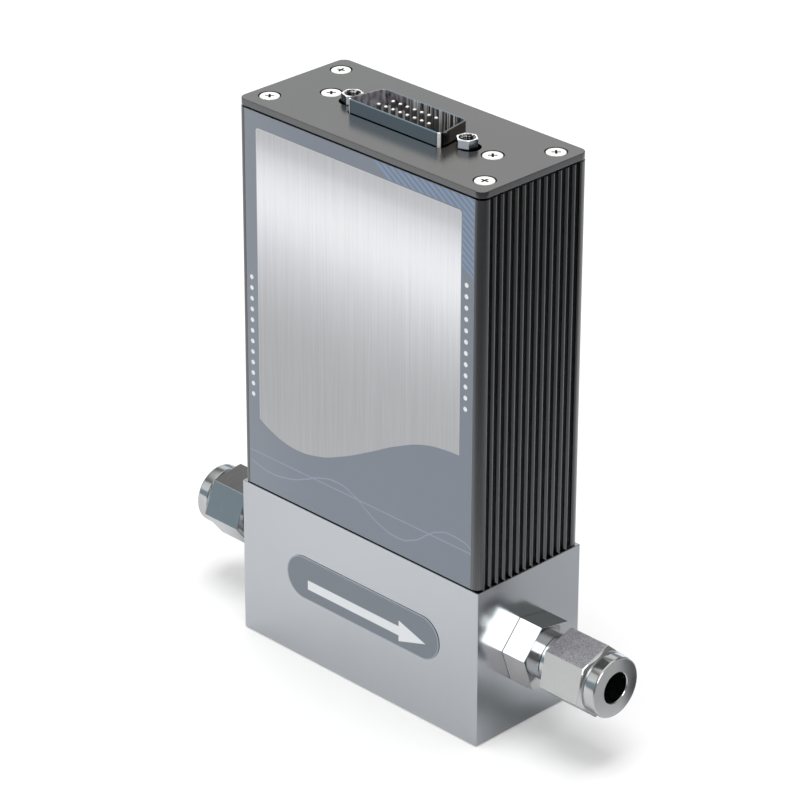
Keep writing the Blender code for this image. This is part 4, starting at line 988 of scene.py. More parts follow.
class Bench:
    """Mesh operations that several pieces share."""

    TURNED_GAP: ClassVar[float] = 1e-5
    JOINED_GAP: ClassVar[float] = 1e-4
    FLAT_ANGLE: ClassVar[float] = 0.002
    UPRIGHT: ClassVar[float] = 0.6

    @staticmethod
    def box(low: Sequence[float], high: Sequence[float]) -> bmesh.types.BMesh:
        """Makes a box between two corners.

        Args:
            low: Its lowest corner.
            high: Its highest corner.

        Returns:
            The box.
        """
        bm = bmesh.new()
        sizes = Vector(high) - Vector(low)
        place = Matrix.Translation((Vector(high) + Vector(low)) / 2)
        bmesh.ops.create_cube(bm, size=1.0, matrix=place @ Matrix.Diagonal((*sizes, 1.0)))
        return bm

    @staticmethod
    def slab(outline: Sequence[Point2], low: float, high: float) -> bmesh.types.BMesh:
        """Makes an upright slab from an outline.

        Args:
            outline: The corners, counter-clockwise.
            low: The height of its underside.
            high: The height of its top.

        Returns:
            The slab.
        """
        bm = bmesh.new()
        verts = [bm.verts.new((x, y, low)) for x, y in outline]
        edges = [bm.edges.new((verts[index - 1], verts[index])) for index in range(len(verts))]
        face = bmesh.ops.edgeloop_fill(bm, edges=edges)["faces"][0]
        raised = bmesh.ops.extrude_face_region(bm, geom=[face])["geom"]
        top = [item for item in raised if isinstance(item, bmesh.types.BMVert)]
        bmesh.ops.translate(bm, verts=top, vec=(0, 0, high - low))
        bmesh.ops.recalc_face_normals(bm, faces=bm.faces)
        return bm

    @staticmethod
    def turn(profile: Sequence[Point2], steps: int = 64) -> bmesh.types.BMesh:
        """Turns a profile about Z.

        Args:
            profile: Points as radius and height. A profile that leaves the axis open is closed on itself.
            steps: The number of steps round.

        Returns:
            The turned solid.
        """
        bm = bmesh.new()
        verts = [bm.verts.new((radius, 0, height)) for radius, height in profile]
        first = 1 if profile[0][0] == 0 and profile[-1][0] == 0 else 0
        edges = [bm.edges.new((verts[index - 1], verts[index])) for index in range(first, len(verts))]
        bmesh.ops.spin(bm, geom=verts + edges, axis=(0, 0, 1), angle=math.tau, steps=steps, use_merge=True)
        bmesh.ops.remove_doubles(bm, verts=bm.verts, dist=Bench.TURNED_GAP)
        bmesh.ops.recalc_face_normals(bm, faces=bm.faces)
        return bm

    @classmethod
    def rod(cls, radius: float, low: float, high: float, steps: int = 64) -> bmesh.types.BMesh:
        """Makes an upright round rod.

        Args:
            radius: Its radius.
            low: The height of its underside.
            high: The height of its top.
            steps: The number of steps round.

        Returns:
            The rod.
        """
        return cls.turn([(0, low), (radius, low), (radius, high), (0, high)], steps)

    @staticmethod
    def hexagon(across_flats: float, turn: float, low: float, high: float) -> bmesh.types.BMesh:
        """Makes an upright hexagonal prism.

        Args:
            across_flats: The distance between opposite flats.
            turn: The angle of its first corner in degrees.
            low: The height of its underside.
            high: The height of its top.

        Returns:
            The prism.
        """
        bm = bmesh.new()
        radius = across_flats / math.sqrt(3)
        place = Matrix.Translation((0, 0, (low + high) / 2)) @ Matrix.Rotation(math.radians(turn), 4, "Z")
        bmesh.ops.create_cone(bm, cap_ends=True, segments=6, radius1=radius, radius2=radius, depth=high - low,
                              matrix=place @ Matrix.Rotation(math.pi / 2, 4, "Z"))
        return bm

    @classmethod
    def tapered(cls, prism: bmesh.types.BMesh, radius: float, low: float, high: float) -> bmesh.types.BMesh:
        """Adds a taper from a prism's top to a circle, with the second finish.

        Args:
            prism: The prism.
            radius: The circle's radius.
            low: The height of the prism's top.
            high: The height of the circle.

        Returns:
            The solid.
        """
        bmesh.ops.delete(prism, geom=prism.faces[:], context="FACES_ONLY")
        bmesh.ops.create_circle(prism, segments=96, radius=radius, matrix=Matrix.Translation((0, 0, high)))
        bmesh.ops.convex_hull(prism, input=prism.verts)
        bmesh.ops.dissolve_limit(prism, angle_limit=cls.FLAT_ANGLE, verts=prism.verts, edges=prism.edges)
        bmesh.ops.recalc_face_normals(prism, faces=prism.faces)
        for face in prism.faces:
            if low + 0.01 < face.calc_center_median().z < high - 0.01:
                face.material_index = 1
        return prism

    @staticmethod
    def soften(bm: bmesh.types.BMesh, width: float, segments: int = 2,
               angle: float = 30.0) -> bmesh.types.BMesh:
        """Rounds the edges that are sharper than an angle.

        Args:
            bm: The mesh.
            width: The bevel's width.
            segments: Its number of faces.
            angle: The least angle in degrees.

        Returns:
            The same mesh.
        """
        least = math.radians(angle)
        edges = [edge for edge in bm.edges if len(edge.link_faces) == 2 and edge.calc_face_angle() > least]
        bmesh.ops.bevel(bm, geom=edges, offset=width, affect="EDGES", segments=segments, profile=0.5,
                        material=-1)
        return bm

    @staticmethod
    def combine(first: bmesh.types.BMesh, second: bmesh.types.BMesh, operation: str) -> bmesh.types.BMesh:
        """Joins two solids, cuts one from the other, or keeps what they share.

        Args:
            first: The solid that is kept.
            second: The solid that works on it.
            operation: UNION, DIFFERENCE or INTERSECT.

        Returns:
            The resulting solid.
        """
        objects = []
        for bm in (first, second):
            mesh = bpy.data.meshes.new("bench")
            bm.to_mesh(mesh)
            bm.free()
            made = bpy.data.objects.new("bench", mesh)
            bpy.context.scene.collection.objects.link(made)
            objects.append(made)
        modifier = objects[0].modifiers.new("work", "BOOLEAN")
        modifier.operation = operation
        modifier.solver = "EXACT"
        modifier.object = objects[1]
        graph = bpy.context.evaluated_depsgraph_get()
        result = bmesh.new()
        result.from_mesh(objects[0].evaluated_get(graph).to_mesh())
        for made in objects:
            mesh = made.data
            bpy.data.objects.remove(made)
            bpy.data.meshes.remove(mesh)
        bmesh.ops.remove_doubles(result, verts=result.verts, dist=Bench.JOINED_GAP)
        return result

    @staticmethod
    def mark(bm: bmesh.types.BMesh) -> bmesh.types.BMesh:
        """Marks every face of a cutter, so that what it leaves takes the second finish.

        Args:
            bm: The cutter.

        Returns:
            The same mesh.
        """
        for face in bm.faces:
            face.material_index = 1
        return bm

    @staticmethod
    def mark_sides(bm: bmesh.types.BMesh) -> bmesh.types.BMesh:
        """Marks the upright faces that aren't marked yet, so that they take the third finish.

        Args:
            bm: The mesh.

        Returns:
            The same mesh.
        """
        for face in bm.faces:
            face.normal_update()
            if face.material_index == 0 and abs(face.normal.z) < Bench.UPRIGHT:
                face.material_index = 2
        return bm

    @staticmethod
    def move(bm: bmesh.types.BMesh, place: Matrix) -> bmesh.types.BMesh:
        """Moves a mesh by a matrix."""
        bmesh.ops.transform(bm, matrix=place, verts=bm.verts)
        return bm

    @staticmethod
    def together(parts: Sequence[bmesh.types.BMesh]) -> bmesh.types.BMesh:
        """Puts several solids into one mesh as they are.

        Args:
            parts: The solids.

        Returns:
            The mesh.
        """
        whole = bmesh.new()
        for bm in parts:
            mesh = bpy.data.meshes.new("bench")
            bm.to_mesh(mesh)
            bm.free()
            whole.from_mesh(mesh)
            bpy.data.meshes.remove(mesh)
        return whole

    @staticmethod
    def arc(centre: Point2, radius: Point2, start: float, end: float, steps: int) -> list[Point2]:
        """Gives the points of an arc.

        Args:
            centre: Its centre.
            radius: Its half sizes along the two axes.
            start: Its first angle in degrees.
            end: Its last angle.
            steps: The number of steps.

        Returns:
            The points.
        """
        turns = [math.radians(start + (end - start) * step / steps) for step in range(steps + 1)]
        return [(centre[0] + radius[0] * math.cos(a), centre[1] + radius[1] * math.sin(a)) for a in turns]

    @classmethod
    def rounded(cls, corners: Sequence[Point2], radius: float, steps: int = 8) -> list[Point2]:
        """Rounds the corners of a convex outline, counter-clockwise.

        Args:
            corners: Its corners.
            radius: The radius of each corner.
            steps: The number of steps in each corner.

        Returns:
            The rounded outline.
        """
        outline: list[Point2] = []
        for index, corner in enumerate(corners):
            before, after = corners[index - 1], corners[(index + 1) % len(corners)]
            incoming = math.atan2(corner[1] - before[1], corner[0] - before[0])
            outgoing = math.atan2(after[1] - corner[1], after[0] - corner[0])
            bend = (outgoing - incoming) % math.tau
            reach = radius * math.tan(bend / 2)
            start = (corner[0] - reach * math.cos(incoming), corner[1] - reach * math.sin(incoming))
            centre = (start[0] - radius * math.sin(incoming), start[1] + radius * math.cos(incoming))
            first = math.degrees(incoming) - 90
            outline += cls.arc(centre, (radius, radius), first, first + math.degrees(bend), steps)
        return outline


@dataclass
class SubAssembly:
    """A group of pieces that ride on the meter's one body."""

    finishes: Finishes
    BODY: ClassVar[str] = "root"

    def add(self, name: str, bm: bmesh.types.BMesh, finish: Finish, slot: str, replaces: Sequence[str],
            sharp: float = 30.0, marked: Sequence[Finish] = ()) -> bpy.types.Object:
        """Makes a mesh in millimetres into a piece of the object.

        Args:
            name: The piece's name.
            bm: Its mesh.
            finish: Its finish.
            slot: The record's material slot. Not used.
            replaces: The nodes that it stands for.
            sharp: The least angle of an edge that stays sharp, in degrees.
            marked: The finishes of its marked faces, by their mark.

        Returns:
            The piece.
        """
        bmesh.ops.scale(bm, vec=(MM, MM, MM), verts=bm.verts)
        mesh = bpy.data.meshes.new(name)
        bm.to_mesh(mesh)
        bm.free()
        for each in (finish, *marked):
            mesh.materials.append(each.material())
        mesh.shade_smooth()
        mesh.set_sharp_from_angle(angle=math.radians(sharp))
        made = bpy.data.objects.new(name, mesh)
        bpy.context.scene.collection.objects.link(made)
        flats = made.modifiers.new("flats", "WEIGHTED_NORMAL")
        flats.weight = 100
        flats.keep_sharp = True
        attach(made, self.BODY)
        if replaces:
            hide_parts(*replaces)
        LOG.info("%s: %d faces", name, len(mesh.polygons))
        return made

    @staticmethod
    def dress(finish: Finish, *nodes: str) -> None:
        """Gives a finish to solids that are kept as they are.

        Args:
            finish: The finish.
            nodes: The names of the solids.
        """
        for node in nodes:
            mesh = frame["nodes"][node].data
            mesh.materials.clear()
            mesh.materials.append(finish.material())
            LOG.info("%s: dressed", node)


@dataclass
class FlowBlock(SubAssembly):
    """Machined block with its ports, and the film with the flow arrow."""

    length: float = 72.0
    depth: float = 31.2
    height: float = 37.0
    edge: float = 0.15
    port_height: float = 18.6
    port_radius: float = 6.9
    port_depth: float = 2.2
    foot_hole: float = 1.7
    foot_depth: float = 8.0
    foot_x: float = 19.0
    film_x: float = 1.5
    film_z: float = 20.2
    film_width: float = 46.6
    film_height: float = 10.3
    film_thickness: float = 0.15
    film_edge: float = 0.04
    film_sunk: float = 0.05

    def block(self) -> bmesh.types.BMesh:
        """Makes the block with its two port recesses and two foot holes.

        Returns:
            The block.
        """
        x, y = self.length / 2, self.depth / 2
        bm = Bench.soften(Bench.box((-x, -y, 0), (x, y, self.height)), self.edge, 3)
        for side in Side:
            centre = Matrix.Translation((side.sign * x, 0, self.port_height))
            port = Bench.rod(self.port_radius, -self.port_depth, 1)
            port = Bench.move(port, centre @ Matrix.Rotation(side.sign * math.pi / 2, 4, "Y"))
            bm = Bench.combine(bm, port, "DIFFERENCE")
        mouth = self.foot_hole + 0.3
        profile = [(0, -1), (mouth, -1), (mouth, 0), (self.foot_hole, 0.3), (self.foot_hole, self.foot_depth),
                   (0, self.foot_depth + 1)]
        for sign in (-1, 1):
            drill = Bench.move(Bench.turn(profile, 32), Matrix.Translation((sign * self.foot_x, 0, 0)))
            bm = Bench.combine(bm, drill, "DIFFERENCE")
        return bm

    def film(self) -> bmesh.types.BMesh:
        """Makes the pill-shaped film on the block's front.

        Returns:
            The film.
        """
        x, y = self.film_width / 2, self.film_height / 2
        outline = Bench.rounded([(-x, -y), (x, -y), (x, y), (-x, y)], y - 0.01, 24)
        bm = Bench.soften(Bench.slab(outline, 0, self.film_thickness), self.film_edge, 2, 60)
        place = Matrix.Translation((self.film_x, -self.depth / 2 - self.film_sunk, self.film_z))
        return Bench.move(bm, place @ Matrix.Rotation(math.pi / 2, 4, "X"))

    def build(self) -> None:
        """Builds and dresses the sub-assembly."""
        self.add("block", self.block(), self.finishes.block_steel, "stainless_steel", ["flow_block"])
        self.add("flow_arrow_film", self.film(), self.finishes.flow_film, "label_blue_grey", ["flow_label"],
                 sharp=60)


@dataclass
class TubeFitting(SubAssembly):
    """Compression fitting at one end of the block. Stations run outwards from the block's end face."""

    LOWER: ClassVar[int] = 1
    UPPER: ClassVar[int] = 2

    side: Side = Side.OUTLET
    nut_turn: float = 18.4
    body_turn: float = 49.0
    across_flats: float = 14.29
    block_end: float = 36.0
    axis_height: float = 18.6
    hex_length: float = 6.4
    nut_start: float = 10.65
    nut_hex_end: float = 21.8
    nut_taper: float = 0.6
    taper_radius: float = 6.9
    body_edge: float = 0.1
    nut_edge: float = 0.11
    face: float = 25.15
    neck: tuple[Point2, ...] = (
        (2.4, -9.2), (5.2, -9.2), (5.2, 4.0), (5.5, 6.3), (5.5, 8.15), (5.1, 8.25), (5.1, 8.45), (5.65, 8.5),
        (5.78, 8.62), (5.78, 10.2), (5.42, 10.4),
    )
    socket: tuple[Point2, ...] = ((5.42, 17.4), (4.55, 17.4), (3.48, 14.5), (3.48, 8.4), (2.4, 8.4))
    thread_start: float = 10.5
    thread_pitch: float = 0.85
    thread_crests: int = 8
    thread_crest: float = 5.42
    thread_root: float = 5.2
    facet_area: float = 10.0

    @property
    def place(self) -> Matrix:
        """The matrix from the fitting's own upright frame to the block's end."""
        shift = Matrix.Translation((self.side.sign * self.block_end, 0, self.axis_height))
        return shift @ Matrix.Rotation(self.side.sign * math.pi / 2, 4, "Y")

    def corner_angle(self, turn: float) -> float:
        """Gives a corner's angle in the upright frame, from its angle seen along the gas flow."""
        return 90 + self.side.sign * turn

    def body(self) -> bmesh.types.BMesh:
        """Makes the hexagon, the neck and the start of its thread, with the tube's socket.

        Returns:
            The body, with its lower front facets marked.
        """
        hexagonal = Bench.hexagon(self.across_flats, self.corner_angle(self.body_turn), 0.05, self.hex_length)
        hexagonal = Bench.soften(hexagonal, self.body_edge, 2)
        crest, root = self.thread_crest, self.thread_root
        neck = [*self.neck]
        for turn in range(self.thread_crests):
            station = self.thread_start + turn * self.thread_pitch
            neck += [(crest, station), (root, station + 0.35), (root, station + 0.45), (crest, station + 0.8)]
        neck += self.socket
        bm = Bench.move(Bench.combine(hexagonal, Bench.turn(neck), "UNION"), self.place)
        bm.normal_update()
        # painted light: the lower front facets take the lighter copy of the steel
        for face in bm.faces:
            if face.normal.y < -0.8 and face.normal.z < -0.2 and face.calc_area() > self.facet_area:
                face.material_index = self.LOWER
        return bm

    def nut(self) -> bmesh.types.BMesh:
        """Makes the nut: a hexagon with a turned chamfer, and a round collar with the tube's bore.

        Returns:
            The nut, with its turned faces and its upper facets marked.
        """
        start, end, face_end = self.nut_start, self.nut_hex_end, self.face
        shoulder = end - self.nut_taper
        hexagonal = Bench.hexagon(self.across_flats, self.corner_angle(self.nut_turn), start, shoulder)
        hexagonal = Bench.tapered(hexagonal, self.taper_radius, shoulder, end)
        hexagonal = Bench.soften(hexagonal, self.nut_edge, 2, 20)
        collar = [
            (0, end - 3), (6.2, end - 3), (6.5, end - 0.1), (6.5, end + 0.2), (6.62, end + 0.3),
            (6.8, end + 0.45), (6.85, end + 0.7), (6.85, face_end - 0.45), (6.8, face_end - 0.22),
            (6.66, face_end - 0.06), (6.45, face_end), (0, face_end),
        ]
        whole = Bench.combine(hexagonal, Bench.mark(Bench.turn(collar, 96)), "UNION")
        bore = [
            (0, start - 1), (5.8, start - 1), (5.8, 17.7), (4.95, 17.7), (4.95, 20.05), (3.45, 20.6),
            (3.45, face_end - 0.28), (3.55, face_end - 0.1), (3.8, face_end + 0.12), (3.8, face_end + 1),
            (0, face_end + 1),
        ]
        bm = Bench.move(Bench.combine(whole, Bench.mark(Bench.turn(bore, 96)), "DIFFERENCE"), self.place)
        bm.normal_update()
        for face in bm.faces:
            if face.material_index == 0 and face.normal.z > 0.7 and face.calc_area() > self.facet_area:
                face.material_index = self.UPPER
        return bm

    def build(self) -> None:
        """Builds and dresses the fitting."""
        name = self.side.value
        steel = self.finishes.turned_steel
        facets, upper = steel, steel
        # painted light: only the outlet nut takes the lighter copies on its facets
        if self.side is Side.OUTLET:
            facets, upper = self.finishes.facet_steel, self.finishes.speckled_steel
        self.add(f"{name}_body", self.body(), steel, "stainless_steel", [f"{name}_fitting_body"],
                 marked=[self.finishes.lit_lower_facet_steel])
        self.add(f"{name}_nut", self.nut(), facets, "stainless_steel", [f"{name}_fitting_nut"],
                 marked=[steel, upper])
        self.dress(self.finishes.inner_steel, f"{name}_front_ferrule", f"{name}_back_ferrule")
        self.dress(self.finishes.rubber, f"{name}_port_seal")


@dataclass
class Housing(SubAssembly):
    """Ribbed extrusion with its gaskets, and the film on its front."""

    half_x: float = 35.65
    half_y: float = 15.55
    low: float = 37.4
    high: float = 125.8
    corner: float = 1.85
    grooves: int = 13
    pitch: float = 2.1
    groove_width: float = 1.0
    groove_depth: float = 1.4
    lip: float = 0.3
    film_half: float = 33.7
    film_thickness: float = 0.15
    film_edge: float = 0.04
    film_gap: float = 0.05
    cavity_x: float = 32.65
    cavity_y: float = 13.75
    boss_x: float = 31.3
    boss_y: float = 10.4
    boss_half: float = 2.4
    boss_reach: Point2 = (33.5, 14.5)
    boss_hole: float = 1.5

    def ribbed_end(self) -> list[Point2]:
        """Gives the outline of the +X end.

        Returns:
            Its points from front to back.
        """
        x, y = self.half_x, self.half_y
        half = self.groove_width / 2
        ridge = (self.pitch - self.groove_width) / 2
        first = -self.pitch * (self.grooves - 1) / 2
        corner, lip, hollow, crest = ((radius, radius) for radius in (self.corner, self.lip, half, ridge))
        outline = Bench.arc((x - self.corner, -y + self.corner), corner, -90, 0, 8)
        outline += Bench.arc((x - self.lip, first - half - self.lip), lip, 0, 90, 4)
        for groove in range(self.grooves):
            middle = first + groove * self.pitch
            outline += Bench.arc((x - self.groove_depth + half, middle), hollow, 270, 90, 6)
            if groove < self.grooves - 1:
                outline += Bench.arc((x - ridge, middle + self.pitch / 2), crest, -90, 90, 10)
        outline += Bench.arc((x - self.lip, -first + half + self.lip), lip, -90, 0, 4)
        outline += Bench.arc((x - self.corner, y - self.corner), corner, 0, 90, 8)
        return outline

    def shell(self) -> bmesh.types.BMesh:
        """Makes the extrusion, open at both ends, with screw channels and the film's recess in its front.

        Returns:
            The extrusion.
        """
        end = self.ribbed_end()
        outline = end + [(-x, y) for x, y in reversed(end)]
        recess = self.film_half + self.film_gap
        depth = -self.half_y + self.film_thickness + self.film_gap
        outline += [(-recess, -self.half_y), (-recess, depth), (recess, depth), (recess, -self.half_y)]
        bm = Bench.slab(outline, self.low, self.high)
        x, y = self.cavity_x, self.cavity_y
        room = Bench.box((-x, -y, self.low - 1), (x, y, self.high + 1))
        bm = Bench.combine(bm, room, "DIFFERENCE")
        for x in (-self.boss_x, self.boss_x):
            for y in (-self.boss_y, self.boss_y):
                wall_x, wall_y = math.copysign(self.boss_reach[0], x), math.copysign(self.boss_reach[1], y)
                low = (min(x - self.boss_half, wall_x), min(y - self.boss_half, wall_y), self.low)
                high = (max(x + self.boss_half, wall_x), max(y + self.boss_half, wall_y), self.high)
                drill = Bench.rod(self.boss_hole, self.low - 1, self.high + 1, 24)
                drill = Bench.move(drill, Matrix.Translation((x, y, 0)))
                boss = Bench.combine(Bench.box(low, high), drill, "DIFFERENCE")
                bm = Bench.combine(bm, boss, "UNION")
        return bm

    def film(self) -> bmesh.types.BMesh:
        """Makes the film in its recess.

        Returns:
            The film.
        """
        low = (-self.film_half, -self.half_y, self.low)
        high = (self.film_half, -self.half_y + self.film_thickness, self.high)
        return Bench.soften(Bench.box(low, high), self.film_edge, 2)

    def build(self) -> None:
        """Builds and dresses the sub-assembly."""
        self.add("ribbed_housing", self.shell(), self.finishes.anodised, "dark_anodised", ["housing_shell"],
                 sharp=40)
        self.add("front_film", self.film(), self.finishes.front_film, "label_blue_grey", ["front_label"])
        self.dress(self.finishes.rubber, "base_gasket", "top_gasket")


@dataclass
class TopPlate(SubAssembly):
    """Plate on top of the housing, with its six countersunk screws."""

    half_x: float = 35.65
    half_y: float = 15.55
    low: float = 126.2
    high: float = 127.7
    corner: float = 2.0
    edge: float = 0.16
    jack_x: float = 17.25
    connector_y: float = -0.4
    jack_hole: float = 2.5
    head_radius: float = 2.15
    head_gap: float = 0.26
    head_drop: float = 0.05
    screw_radius: float = 1.2
    screw_length: float = 5.5
    recess_reach: float = 1.25
    recess_width: float = 0.58
    recess_depth: float = 0.85
    screws: tuple[Point3, ...] = (
        (-31.3, -10.4, 45.0), (31.3, -10.4, 1.0), (31.3, 10.4, 45.0), (-31.3, 10.4, 12.0),
        (-23.5, 0.0, 45.0), (23.5, 0.0, 45.0),
    )

    def plate(self, opening: Sequence[Point2]) -> bmesh.types.BMesh:
        """Makes the plate.

        Args:
            opening: The outline of the connector's cut-out.

        Returns:
            The plate.
        """
        x, y, top = self.half_x, self.half_y, self.high
        under, over = self.low - 1, self.high + 1
        outline = Bench.rounded([(-x, -y), (x, -y), (x, y), (-x, y)], self.corner, 12)
        bm = Bench.soften(Bench.slab(outline, self.low, self.high), self.edge, 3, 60)
        bm = Bench.combine(bm, Bench.slab(opening, under, over), "DIFFERENCE")
        rim = self.head_radius + self.head_gap
        shank = self.screw_radius + 0.2
        mouth = self.jack_hole + 0.07
        sink = [(0, under), (shank, under), (shank, top - 1.25), (rim, top - 0.35), (rim, top - 0.05),
                (rim + 0.05, top + 0.01), (rim + 0.05, over), (0, over)]
        drill = [(0, under), (self.jack_hole, under), (self.jack_hole, top - 0.06), (mouth, top + 0.01),
                 (mouth, over), (0, over)]
        # painted shade: the faces that the countersinks and jack holes leave take the recess shade
        cutters = [Bench.move(Bench.mark(Bench.turn(sink, 48)), Matrix.Translation((px, py, 0)))
                   for px, py, _ in self.screws]
        for sign in (-1, 1):
            place = Matrix.Translation((sign * self.jack_x, self.connector_y, 0))
            cutters.append(Bench.move(Bench.mark(Bench.turn(drill, 48)), place))
        return Bench.mark_sides(Bench.combine(bm, Bench.together(cutters), "DIFFERENCE"))

    def screw(self, x: float, y: float, turn: float) -> bmesh.types.BMesh:
        """Makes one countersunk screw with a cross recess.

        Args:
            x: Its place along X.
            y: Its place along Y.
            turn: The angle of its recess in degrees.

        Returns:
            The screw.
        """
        top = self.high - self.head_drop
        bottom = top - self.screw_length
        shank, head = self.screw_radius, self.head_radius
        profile = [(0, bottom), (shank - 0.2, bottom), (shank, bottom + 0.3), (shank, top - 0.95),
                   (head, top - 0.25), (head, top - 0.1), (head - 0.08, top), (0, top)]
        bm = Bench.turn(profile, 48)
        reach, width = self.recess_reach, self.recess_width / 2
        for quarter in (0, 1):
            wing = Bench.box((-reach, -width, -self.recess_depth), (reach, width, 1))
            for vert in wing.verts:
                if vert.co.z < 0:
                    vert.co.x *= 0.6
                    vert.co.y *= 0.7
            turned = Matrix.Rotation(math.radians(turn + 90 * quarter), 4, "Z")
            wing = Bench.move(wing, Matrix.Translation((0, 0, top)) @ turned)
            # painted shade: the faces that the cross recess leaves take the recess shade
            bm = Bench.combine(bm, Bench.mark(wing), "DIFFERENCE")
        return Bench.move(bm, Matrix.Translation((x, y, 0)))

    def build(self, opening: Sequence[Point2]) -> None:
        """Builds and dresses the sub-assembly.

        Args:
            opening: The outline of the connector's cut-out.
        """
        self.add("plate", self.plate(opening), self.finishes.plate_grey, "satin_grey", ["top_plate"],
                 marked=[self.finishes.painted_recess_shade, self.finishes.plate_edge])
        for number, (x, y, turn) in enumerate(self.screws, 1):
            name = f"plate_screw_{number}"
            self.add(name, self.screw(x, y, turn), self.finishes.screw_steel, "bright_plating",
                     [f"cover_screw_{number}"], marked=[self.finishes.painted_recess_shade])


@dataclass
class Connector(SubAssembly):
    """D-shaped connector with its pins and jack screws."""

    FACET: ClassVar[int] = 2
    RIM: ClassVar[int] = 3

    y: float = -0.4
    rim: float = 130.8
    flange_high: float = 124.9
    flange_low: float = 124.4
    width: float = 26.0
    depth: float = 9.6
    angle: float = math.radians(10.5)
    corner: float = 1.3
    wall: float = 0.45
    clearance: float = 0.35
    flange_length: float = 39.2
    flange_depth: float = 12.6
    flange_corner: float = 1.5
    flange_hole: float = 1.6
    flange_edge: float = 0.1
    rim_rounding: float = 0.13
    pin_radius: float = 0.5
    pin_rows: tuple[int, int] = (8, 7)
    pin_pitch: float = 2.085
    row_spacing: float = 3.14
    pin_top: float = 130.6
    insulator_low: float = 119.85
    insulator_shoulder: float = 123.8
    insulator_face: float = 125.25
    insulator_gap: float = 0.3
    jack_x: float = 16.66
    jack_flats: float = 4.2
    jack_top: float = 129.7
    jack_edge: float = 0.06
    jack_bore: float = 1.3
    bore_depth: float = 3.6
    thread_root: float = 1.56
    thread_pitch: float = 0.42
    thread_crests: int = 7
    stud_radius: float = 1.3
    stud_low: float = 120.2
    # the facets that face between these angles get a painted highlight
    lit_facets: Point2 = (-75.0, -38.0)
    jack_turns: dict[Side, float] = field(default_factory=lambda: {Side.INLET: -18.0, Side.OUTLET: -38.0})

    def at_jack(self, side: Side) -> Matrix:
        """Gives the shift to a jack screw's axis."""
        return Matrix.Translation((side.sign * self.jack_x, self.y, 0))

    def outline(self, grow: float, steps: int = 8) -> list[Point2]:
        """Gives the D outline, moved outwards by a distance.

        Args:
            grow: The distance.
            steps: The number of steps in each corner.

        Returns:
            The outline.
        """
        half_depth = self.depth / 2 + grow
        half_width = self.width / 2 + grow / math.cos(self.angle)
        slope = half_depth * math.tan(self.angle)
        low, high = self.y - half_depth, self.y + half_depth
        corners = [(-half_width - slope, low), (half_width + slope, low), (half_width - slope, high),
                   (slope - half_width, high)]
        return Bench.rounded(corners, self.corner + grow, steps)

    def shell(self) -> bmesh.types.BMesh:
        """Makes the drawn shell with a rounded rim on its flange.

        Returns:
            The shell, with its inside marked.
        """
        x, y = self.flange_length / 2, self.flange_depth / 2
        low, high = self.y - y, self.y + y
        flange = Bench.rounded([(-x, low), (x, low), (x, high), (-x, high)], self.flange_corner, 8)
        bm = Bench.soften(Bench.slab(flange, self.flange_low, self.flange_high), self.flange_edge, 2, 60)
        tube = Bench.slab(self.outline(0.0), self.flange_low + 0.2, self.rim)
        bm = Bench.combine(bm, tube, "UNION")
        room = Bench.mark(Bench.slab(self.outline(-self.wall), self.flange_low - 1, self.rim + 1))
        bm = Bench.combine(bm, room, "DIFFERENCE")
        holes = []
        for side in Side:
            hole = Bench.rod(self.flange_hole, self.flange_low - 1, self.flange_high + 1, 32)
            holes.append(Bench.move(hole, self.at_jack(side)))
        bm = Bench.combine(bm, Bench.together(holes), "DIFFERENCE")
        bmesh.ops.dissolve_limit(bm, angle_limit=0.005, verts=bm.verts, edges=bm.edges, delimit={"MATERIAL"})
        top = [edge for edge in bm.edges if all(abs(vert.co.z - self.rim) < 1e-3 for vert in edge.verts)
               and len(edge.link_faces) == 2 and edge.calc_face_angle() > 1]
        bmesh.ops.bevel(bm, geom=top, offset=self.rim_rounding, affect="EDGES", segments=3, profile=0.5,
                        material=-1)
        return bm

    def insulator(self) -> bmesh.types.BMesh:
        """Makes the moulding that fills the shell's lower part.

        Returns:
            The moulding.
        """
        gap = self.insulator_gap
        wide = Bench.slab(self.outline(-gap), self.insulator_low, self.insulator_shoulder)
        nose = Bench.slab(self.outline(-self.wall - gap), self.insulator_low + gap, self.insulator_face)
        return Bench.combine(wide, nose, "UNION")

    def pins(self) -> bmesh.types.BMesh:
        """Makes the two rows of round-nosed pins.

        Returns:
            The pins as one mesh.
        """
        radius = self.pin_radius
        low, shoulder = self.insulator_face + 0.02, self.pin_top - self.pin_radius
        profile = [(0, low), (radius, low), (radius, shoulder)]
        for step in range(1, 6):
            angle = math.radians(15 * step)
            profile.append((radius * math.cos(angle), shoulder + radius * math.sin(angle)))
        profile.append((0, self.pin_top))
        places = []
        for count, row in zip(self.pin_rows, (-self.row_spacing / 2, self.row_spacing / 2)):
            places += [((index - (count - 1) / 2) * self.pin_pitch, self.y + row) for index in range(count)]
        pins = [Bench.move(Bench.turn(profile, 24), Matrix.Translation((x, y, 0))) for x, y in places]
        return Bench.together(pins)

